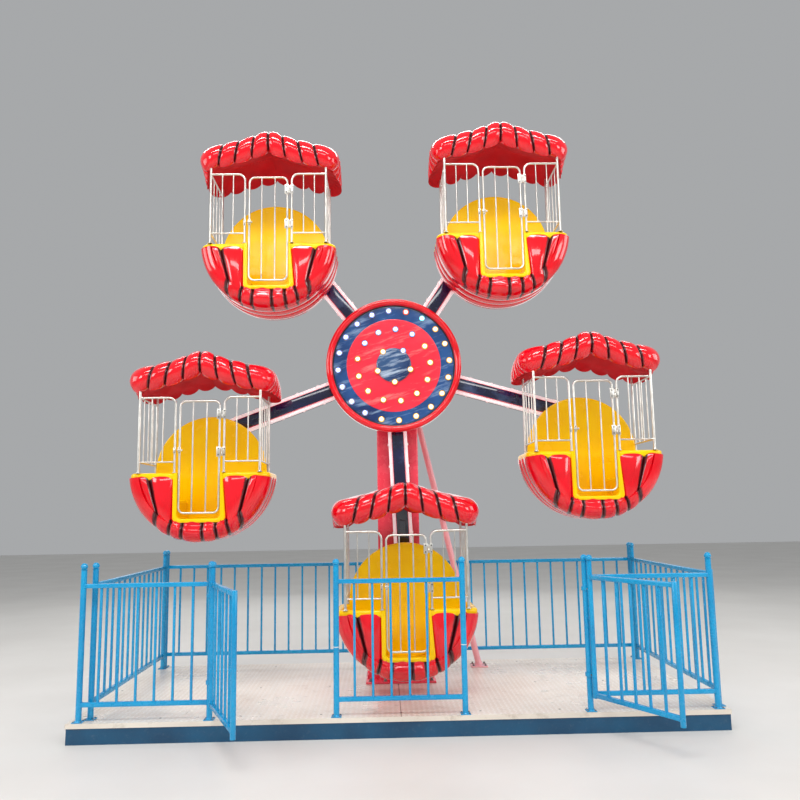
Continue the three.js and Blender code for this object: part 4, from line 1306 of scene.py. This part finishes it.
def buildRingAndCap():
    d = disc
    inside, outside, low, top = d["ringInner"], d["ringOuter"], d["face"], d["ring"]
    ring = bmesh.new()
    profile = [(inside + 0.0005, low), (outside - 0.0101, low), (outside - 0.0101, top + 0.001),
               (outside - 0.011, top + 0.002), (outside - 0.014, top + 0.0021),
               (inside + 0.004, top + 0.0021), (inside + 0.0012, top + 0.002),
               (inside + 0.0005, top + 0.001), (inside + 0.0005, low)]
    addLathe(ring, profile, 96, place=facingFront)
    finishPiece("lamp_ring_glass", ring, ("ring",), "wheel", "ring_shell", "lamp_ring")
    radius, low, top = d["capRadius"], d["centre"], d["cap"]
    cap = bmesh.new()
    profile = [(0, low), (radius + 0.004, low), (radius + 0.004, low + 0.008), (radius, low + 0.010),
               (radius - 0.002, top - 0.003), (radius - 0.007, top), (radius - 0.012, top + 0.0002),
               (radius * 0.5, top + 0.0006), (0, top + 0.0008)]
    addLathe(cap, profile, 64, place=facingFront)
    finishPiece("lamp_disc_cap_cover", cap, ("cap",), "wheel", "arm_paint", "lamp_disc_cap")


lamps = {
    "core": 0.0175,
    "radius": 0.0265,
    "bezel": 0.003,
    # each row: how many, how far out, the first one's angle, the step and the height of their feet
    "outer": (20, 0.512, 94.5, -18.0, disc["ring"] + 0.003),
    "middle": (13, 0.336, 86.5, -27.7, disc["centre"] + 0.002),
    "inner": (5, 0.157, -87.7, 72.0, disc["cap"] - 0.004),
}


def lampColour(row, k, angle):
    # the upper left ones shine cold, those on the right and below warm
    if row == "outer":
        if k in (1, 2):
            return "scarlet" if k == 1 else "cyan"
        return "cool" if 90 < angle % 360 < 240 else "warm"
    if row == "middle":
        if 160 < angle % 360 < 176:
            return "orange"
        return "cool" if 50 < angle % 360 < 150 else "warm"
    return "cool" if 20 < angle % 360 < 90 else "warm"


def buildLamps():
    shades = ("warm", "cool", "cyan", "scarlet", "orange")
    piece = bmesh.new()
    radius, bezel, core = lamps["radius"], lamps["bezel"], lamps["core"]
    dome = [(0, 0.0105), (core * 0.4, 0.0100), (core * 0.75, 0.0085), (core, 0.0060)]
    glass = [(core, 0.0060), (mix(core, radius, 0.5), 0.0045), (radius, 0.0010)]
    collar = [(radius - 0.001, 0), (radius + bezel, 0), (radius + bezel, 0.004),
              (radius + bezel * 0.5, 0.006), (radius - 0.001, 0.004), (radius - 0.001, 0)]
    for row in ("outer", "middle", "inner"):
        count, reach, first, step, height = lamps[row]
        for k in range(count):
            angle = first + k * step
            at = (reach * cos(radians(angle)), reach * sin(radians(angle)), height)
            place = facingFront @ Matrix.Translation(at)
            addLathe(piece, dome, 16, 1, place)
            addLathe(piece, glass, 16, 2 + shades.index(lampColour(row, k, angle)), place)
            addLathe(piece, collar, 16, 0, place)
    bmesh.ops.remove_doubles(piece, verts=piece.verts, dist=1e-5)
    finishPiece("disc_lamps", piece, ("gold", "core", *shades), "wheel", "ring_shell")


arm = {
    "start": 0.158,
    "end": 1.835,
    "halfCover": 0.0525,
    "halfBeam": 0.0875,
    "front": -0.003,
    "body": 0.015,
    "back": 0.085,
    "edge": 0.0035,
    "clips": 5,
    "clipFrom": 0.72,
    "clipStep": 0.2,
    "clipHalf": 0.011,
    "screwZ": 0.036,
}


def armPlace(number):
    return hubPlace @ Matrix.Rotation(radians(90 - wheel["turn"] - 72 * (number - 1)), 4, "Y")


def addStrip(piece, side, place):
    # milky cover with its own lengthwise UV map
    a = arm
    low, high = sorted((side * (a["halfCover"] + 0.004), side * (a["halfBeam"] - 0.001)))
    strip = bmesh.new()
    size = Matrix.Diagonal((a["end"] - a["start"] - 0.08, 0.046, high - low, 1))
    middle = Vector(((a["start"] + a["end"]) / 2 + 0.03, a["body"] + 0.020, (low + high) / 2))
    bmesh.ops.create_cube(strip, size=1.0, matrix=Matrix.Translation(middle) @ size)
    bmesh.ops.bevel(strip, geom=strip.edges[:], offset=0.006, segments=2, affect="EDGES",
                    profile=0.5, material=-1)
    layer = strip.loops.layers.uv.new("along")
    for face in strip.faces:
        for loop in face.loops:
            loop[layer].uv = (loop.vert.co.x * 4, (loop.vert.co.z - low) / (high - low))
    addPart(piece, strip, 1, place)


def buildArm(number):
    a = arm
    place = armPlace(number)
    piece = bmesh.new()
    piece.loops.layers.uv.new("along")
    start, end, half, beam = a["start"] + seam, a["end"], a["halfCover"], a["halfBeam"]
    front, body, back = a["front"], a["body"], a["back"]
    addBox(piece, (start, front + 0.002, -half), (end, back, half), 0, a["edge"], 2, place)
    for side in (-1, 1):
        addStrip(piece, side, place)
        low, high = sorted((side * half, side * (half + 0.003)))
        addBox(piece, (start, front + 0.004, low), (end, body + 0.004, high), 2, 0.001, 1, place)
        low, high = sorted((side * half, side * (beam - 0.002)))
        addBox(piece, (start, back - 0.022, low), (end - 0.03, back, high), 5, 0.001, 1, place)
        low, high = sorted((side * beam, side * beam + side * 0.007))
        for k in range(a["clips"]):
            x = a["clipFrom"] + k * a["clipStep"]
            addBox(piece, (x - a["clipHalf"], body + 0.002, low),
                   (x + a["clipHalf"], body + 0.040, high), 3, 0.002, 2, place)
    for x in (start + 0.05, start + 0.09, end - 0.16, end - 0.02):
        for z in (-a["screwZ"], a["screwZ"]):
            head = place @ Vector((x, front + 0.002, z))
            addScrew(piece, head, place.to_3x3() @ Vector((0, -1, 0)), 0.006, 4)
    paints = ("navy", "strip", "column", "clip", "zinc", "black")
    finishPiece(f"arm_{number}_box", piece, paints, "wheel", "arm_paint", f"arm_{number}")


hub = {"bolts": 10, "boltRing": 0.122, "boltSeat": 0.085, "boltSize": 0.016}


def buildHub():
    h = hub
    piece = bmesh.new()
    drum = [(0, -0.003), (0.150, -0.003), (0.158, 0.004), (0.158, 0.078), (0.150, 0.085),
            (0.080, 0.085), (0.068, 0.092), (0.0455, 0.094), (0.045, 0.100), (0.045, 0.560),
            (0.045, 0.572), (0, 0.572)]
    endCap = [(0.0452, 0.553), (0.060, 0.553), (0.060, 0.570), (0.054, 0.576), (0.0, 0.576)]
    addLathe(piece, drum, 64, 0, facingBack)
    addLathe(piece, endCap, 48, 1, facingBack)
    for k in range(h["bolts"]):
        turn = radians(360 / h["bolts"] * k)
        at = (h["boltRing"] * cos(turn), h["boltSeat"], wheel["hubZ"] + h["boltRing"] * sin(turn))
        addHexBolt(piece, at, (0, 1, 0), h["boltSize"])
    finishPiece("hub_drum_and_axle", piece, ("iron", "zinc"), "wheel", "bearing_iron", "hub_and_axle")


# Stand: column with foot, bearings and stay, and the platform's fittings

stand = {
    "deckTop": 0.15,
    "deckScrews": (9, 3),  # across and back
    "deckMargin": (0.06, 0.12),
    "columnX": (-0.165, 0.215),
    "columnY": (0.150, 0.490),
    "columnTop": 3.20,
    "cover": ((-0.085, 0.62), (0.135, 0.98)),  # x and z of two corners
    "footPlate": 0.016,
    "footBolts": (0.04, 0.17),
    "gusset": (0.110, 0.22),  # reach and height
    "stayTop": (0.180, 0.530, 2.770),
    "stayFoot": (0.798, 0.765, 0.162),
    "stayRadius": 0.030,
    "stayPlate": 0.08,
    "stayBolts": 0.058,
    "lugHalf": 0.028,
}
bearing = {"half": 0.11, "plate": 0.020, "bolts": 0.085, "boltSize": 0.022}


def buildColumn():
    s = stand
    (left, right), (front, back) = s["columnX"], s["columnY"]
    low, top = s["deckTop"] + s["footPlate"] + 2 * seam, s["columnTop"]
    piece = bmesh.new()
    addBox(piece, (left, front, low), (right, back, top - 0.008), 0, 0.014, 4)
    addBox(piece, (left - 0.004, front - 0.004, top - 0.009), (right + 0.004, back + 0.004, top),
           0, 0.003, 2)
    # weld round the foot and a flush access cover in the back
    corners = ((left, front), (right, front), (right, back), (left, back))
    weld = roundedPath([(x, y, low + 0.003) for x, y in corners], 0.014, 4, closed=True)
    addSweep(piece, 0.0055, weld, sides=6, closed=True, up=(0, 0, 1))
    (left, low), (right, high) = s["cover"]
    addBox(piece, (left, back - 0.002, low), (right, back + 0.003, high), 0, 0.0015, 2)
    for x in (left + 0.015, right - 0.015):
        for z in (low + 0.02, high - 0.02):
            addScrew(piece, (x, back + 0.003, z), (0, 1, 0), 0.007)
    finishPiece("column_box", piece, ("column", "zinc"), "stand", "column_paint", "column")


def buildColumnFoot():
    s = stand
    low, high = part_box("column_foot")
    top = s["deckTop"] + s["footPlate"] + seam
    gussetReach, gussetHeight = s["gusset"]
    edge, inset = s["footBolts"]
    piece = bmesh.new()
    addBox(piece, low, (high.x, high.y, top), 0, 0.002, 2)
    for side, wall in zip((-1, 1), s["columnX"]):
        near, far = wall + side * 0.0004, wall + side * gussetReach
        outline = [(near, top - 0.001), (far, top - 0.001), (far, top + 0.020),
                   (near + side * 0.015, top + gussetHeight), (near, top + gussetHeight)]
        for y in (s["columnY"][0] + 0.06, s["columnY"][1] - 0.06):
            gusset = bmesh.new()
            face = gusset.faces.new([gusset.verts.new((x, y - 0.006, z)) for x, z in outline])
            made = bmesh.ops.extrude_face_region(gusset, geom=[face])["geom"]
            moved = [g for g in made if isinstance(g, bmesh.types.BMVert)]
            bmesh.ops.translate(gusset, verts=moved, vec=(0, 0.012, 0))
            bmesh.ops.bevel(gusset, geom=gusset.edges[:], offset=0.0015, segments=1, affect="EDGES",
                            profile=0.5, material=-1)
            addPart(piece, gusset, 0)
    for x in (low.x + edge, low.x + inset, high.x - inset, high.x - edge):
        for y in (low.y + edge, high.y - edge):
            addHexBolt(piece, (x, y, top), (0, 0, 1), 0.024)
    finishPiece("column_foot_plate", piece, ("column", "zinc"), "stand", "column_paint", "column_foot")


def buildBearing(name, towards):
    # square flange with four bolts and a round nose, grease nipple on top
    low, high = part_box(name)
    near, far = (high.y, low.y) if towards < 0 else (low.y, high.y)
    b = bearing
    piece = bmesh.new()
    half, z = b["half"], wheel["hubZ"]
    plate = near + towards * b["plate"]
    front, back = sorted((near, plate))
    addBox(piece, (-half, front, z - half), (half, back, z + half), 0, 0.006, 3)
    facing = hubPlace @ Matrix.Rotation(radians(-90 * towards), 4, "X")
    foot, tip = near * towards, far * towards
    nose = [(0.0458, foot + 0.002), (0.0458, tip - 0.002), (0.048, tip), (0.072, tip),
            (0.084, tip - 0.006), (0.088, tip - 0.016), (0.090, foot + 0.024),
            (0.096, foot + 0.0195), (0.096, foot + 0.002), (0.0458, foot + 0.002)]
    addLathe(piece, nose, 48, 0, facing)
    for dx in (-b["bolts"], b["bolts"]):
        for dz in (-b["bolts"], b["bolts"]):
            addHexBolt(piece, (dx, plate, z + dz), (0, towards, 0), b["boltSize"])
    nipple = near + towards * 0.036
    addRod(piece, (0, nipple, z + 0.086), (0, nipple, z + 0.100), 0.006, 1, 8, endRadius=0.004)
    finishPiece(name + "_housing", piece, ("iron", "zinc"), "stand", "bearing_iron", name)


def buildStay():
    s = stand
    top, foot, radius = Vector(s["stayTop"]), Vector(s["stayFoot"]), s["stayRadius"]
    piece = bmesh.new()
    along = (foot - top).normalized()
    addRod(piece, top + along * 0.02, foot - along * 0.004, radius, 0, 24)
    addRod(piece, foot - along * 0.032, foot - along * 0.002, radius * 1.12, 0, 24,
           endRadius=radius * 1.35)
    # two lugs on the column with a pin
    back = s["columnY"][1] + seam
    for x in (top.x - s["lugHalf"], top.x + s["lugHalf"]):
        addBox(piece, (x - 0.004, back, top.z - 0.085), (x + 0.004, top.y + 0.012, top.z + 0.085),
               1, 0.0015, 2)
    addRod(piece, (top.x - 0.040, top.y - 0.012, top.z), (top.x + 0.040, top.y - 0.012, top.z),
           0.009, 2, 16, edge=0.001)
    low = s["deckTop"] + seam
    addBlock(piece, foot.x, foot.y, s["stayPlate"], low, low + 0.012, 0.002, 2)
    for dx in (-s["stayBolts"], s["stayBolts"]):
        for dy in (-s["stayBolts"], s["stayBolts"]):
            addHexBolt(piece, (foot.x + dx, foot.y + dy, low + 0.012), (0, 0, 1), 0.016, 2)
    finishPiece("rear_stay", piece, ("brace", "column", "zinc"), "stand", "column_paint", "rear_brace")


def dressPlatform():
    # the CAD nodes keep their shape; the deck gets its folded lip, joint line and countersunk screws
    for name, paint in (("platform_frame", "base"), ("deck_plate", "deck")):
        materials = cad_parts[name].data.materials
        materials.clear()
        materials.append(finish[paint])
    low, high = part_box("deck_plate")
    top = stand["deckTop"]
    piece = bmesh.new()
    # folded lip, cleaner and greyer than the tread
    corners = ((low.x, low.y), (high.x, low.y), (high.x, high.y), (low.x, high.y))
    lip = [Vector((x - copysign(0.0007, x), y - copysign(0.0007, y), top - 0.0178)) for x, y in corners]
    addSweep(piece, softSection(0.0012, 0.0344, 0.0005, 1), lip, closed=True, up=(0, 0, 1))
    x, front, back = (low.x + high.x) / 2, low.y + 0.004, high.y - 0.004
    addBox(piece, (x - 0.002, front, top - 0.001), (x + 0.002, back, top + 0.0004), 1, 0)
    across, along = stand["deckScrews"]
    sideMargin, endMargin = stand["deckMargin"]
    for k in range(across):
        x = mix(low.x + sideMargin, high.x - sideMargin, k / (across - 1))
        for j in range(along):
            y = mix(low.y + endMargin, high.y - endMargin, j / (along - 1))
            head = [(0, 0.0011), (0.008, 0.001), (0.0095, 0)]
            addLathe(piece, head, 12, 2, Matrix.Translation((x, y, top)))
    finishPiece("deck_trim", piece, ("lip", "black", "zinc"), "stand", "tread_plate")


# Fence: round posts with domed finials, square rails and pickets, and two gates

fence = {
    "post": 0.022,
    "height": 1.150,
    "neck": 0.052,  # under the top
    "ball": 0.0265,
    "topRail": 0.980,
    "bottomRail": 0.123,
    "rail": 0.033,
    "picket": 0.018,
    "pitch": 0.140,
    "foot": 0.076,
    "footThickness": 0.006,
    "footBolts": 0.027,
    "stileAbove": 0.020,
    "jointAt": 0.500,
    "deck": stand["deckTop"] + seam,
}
gate = {
    "x": 1.42,
    "y": -1.04,
    "stileOffset": 0.056,
    "length": 0.8685,
    "stile": 0.019,
    "bottom": 0.100,
    "freeBottom": 0.070,
    "freeAbove": 0.006,
    "collars": (0.250, 0.880),
    "collarHeight": 0.030,
    "collarInner": 0.0232,
    "collarOuter": 0.030,
    "leftTurn": -68.0,
    "rightTurn": 298.0,
}


def addFencePost(piece, x, radius, bottom=0.0, foot=True, place=None):
    f = fence
    top, ball, base = f["height"], f["ball"], f["footThickness"]
    neck, centre = top - f["neck"], top - ball
    dome = [(ball * cos(a), centre + ball * sin(a)) for a in (radians(v) for v in range(-40, 91, 13))]
    profile = [(0, bottom), (radius, bottom), (radius, neck), (radius + 0.0035, neck + 0.001),
               (radius + 0.0035, neck + 0.005), (radius * 0.72, neck + 0.008), *dome[:-1], (0, top)]
    addLathe(piece, profile, 20, 0, place @ Matrix.Translation((x, 0, 0)))
    if not foot:
        return
    addBlock(piece, x, 0, f["foot"] / 2, bottom, base, 0.0012, 1, place)
    addRod(piece, (x, 0, base), (x, 0, base + 0.006), radius * 1.25, 0, 20,
           endRadius=radius * 1.02, place=place)
    for dx in (-f["footBolts"], f["footBolts"]):
        for dy in (-f["footBolts"], f["footBolts"]):
            head = place @ Vector((x + dx, dy, base))
            addRod(piece, head, head + Vector((0, 0, 0.006)), 0.0065, 1, 6, edge=0.0006)


def addInfill(piece, start, end, inset, place):
    # two rails with weld beads at their ends, and the pickets between them
    f = fence
    rail, bead = f["rail"] / 2, f["rail"] / 2 + 0.002
    for z in (f["topRail"], f["bottomRail"]):
        addBox(piece, (start, -rail, z - rail), (end, rail, z + rail), 0, 0.003, 2, place)
        for x in (start + inset, end - inset):
            low, high = (x - 0.003, -bead, z - bead), (x + 0.003, bead, z + bead)
            addBox(piece, low, high, 0, 0.0015, 1, place)
    half, weld = f["picket"] / 2, f["picket"] / 2 + 0.002
    low, high = f["bottomRail"] + rail, f["topRail"] - rail
    count = round((end - start) / f["pitch"]) - 1
    for k in range(1, count + 1):
        x = mix(start, end, k / (count + 1))
        addBlock(piece, x, 0, half, low - 0.002, high + 0.002, 0.0022, 1, place)
        for bottom, top in ((low, low + 0.003), (high - 0.003, high)):
            addBlock(piece, x, 0, weld, bottom, top, 0.0012, 1, place)


def buildFencePanel(name, start, length, turn, lowStile=False, jointMark=False):
    f = fence
    place = Matrix.Translation((start[0], start[1], f["deck"])) @ Matrix.Rotation(radians(turn), 4, "Z")
    piece = bmesh.new()
    if lowStile:
        top = f["topRail"] + f["rail"] / 2 + f["stileAbove"]
        addRod(piece, (0, 0, 0), (0, 0, top), f["post"], 0, 20, edge=0.003, place=place)
        addBlock(piece, 0, 0, f["foot"] / 2, 0, f["footThickness"], 0.0012, 1, place)
    else:
        addFencePost(piece, 0, f["post"], place=place)
    addFencePost(piece, length, f["post"], place=place)
    addInfill(piece, 0, length, f["post"], place)
    if jointMark:
        low, high = f["jointAt"] - 0.003, f["jointAt"] + 0.003
        for x in (0, length):
            addRod(piece, (x, 0, low), (x, 0, high), f["post"] + 0.0008, 2, 20, place=place)
    finishPiece(name + "_panel", piece, ("blue", "zinc", "lip"), "stand", "fence_paint", name)


def buildGate(name, side, turn):
    g, f = gate, fence
    at = (side * g["x"], g["y"], f["deck"])
    place = Matrix.Translation(at) @ Matrix.Rotation(radians(turn), 4, "Z")
    start, end, stile = g["stileOffset"], g["length"], g["stile"]
    top = f["topRail"] + f["rail"] / 2 + g["freeAbove"]
    piece = bmesh.new()
    addFencePost(piece, start, stile, g["bottom"], False, place)
    addRod(piece, (end, 0, g["freeBottom"]), (end, 0, top), stile, 0, 20, edge=0.003, place=place)
    addInfill(piece, start, end, stile, place)
    near, far = g["collarInner"], g["collarOuter"]
    for z in g["collars"]:
        high = z + g["collarHeight"]
        addLathe(piece, [(near, z), (far - 0.001, z), (far, z + 0.001), (far, high - 0.001),
                         (far - 0.001, high), (near, high), (near, z)], 24, 0, place)
        addBox(piece, (far - 0.004, -0.009, z), (start - 0.012, 0.009, high), 0, 0.001, 1, place)
        addRod(piece, (0.036, -0.009, z + 0.015), (0.036, -0.015, z + 0.015), 0.007, 1, 6,
               edge=0.0006, place=place)
    finishPiece(name + "_leaf", piece, ("blue", "zinc"), name, "fence_paint", name)


def buildFence():
    reach = fence["foot"] / 2
    for name in ("front_left", "front_middle", "front_right", "back_left", "back_right"):
        low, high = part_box("fence_" + name)
        start = (low.x + reach, (low.y + high.y) / 2)
        buildFencePanel("fence_" + name, start, high.x - low.x - 2 * reach, 0,
                        jointMark=name == "front_middle")
    for name in ("side_left", "side_right"):
        low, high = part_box("fence_" + name)
        start = ((low.x + high.x) / 2, low.y + reach)
        buildFencePanel("fence_" + name, start, high.y - low.y - 2 * reach, 90,
                        lowStile=name == "side_right")
    buildGate("gate_left", -1, gate["leftTurn"])
    buildGate("gate_right", 1, gate["rightTurn"])


# Each cabin's pieces are drawn once and set down at its five places

def cabinOrigin(number):
    low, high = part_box(f"cabin_{number}_bowl")
    return Vector(((low.x + high.x) / 2, 0, low.z))


def setInCabins(kind, mesh, slotName, node, body="cabin"):
    for number in range(1, cabinCount + 1):
        copy = mesh.copy()
        copy.transform(Matrix.Translation(cabinOrigin(number)))
        cabin = f"cabin_{number}_"
        showPiece(cabin + kind, copy, f"{body}_{number}", slotName, cabin + node)


setInCabins("canopy_shell", buildCanopyMesh(), "red_shell", "canopy")
setInCabins("tub_shell", buildTubMesh(), "red_shell", "bowl")
setInCabins("inner_tub", buildLinerMesh(), "yellow_shell", "liner")
setInCabins("cage_tubes", buildCageMesh(), "cage_steel", "frame")
setInCabins("door_tubes", buildDoorMesh(), "cage_steel", "door", body="door")
print("cabins dressed")
buildDisc()
buildRingAndCap()
buildLamps()
for number in range(1, cabinCount + 1):
    buildArm(number)
buildHub()
print("wheel dressed")
buildColumn()
buildColumnFoot()
buildBearing("bearing_front", -1)
buildBearing("bearing_rear", 1)
buildStay()
dressPlatform()
buildFence()
print("stand and fence dressed")


# bring the scene's transforms up to date
bpy.context.view_layer.update()
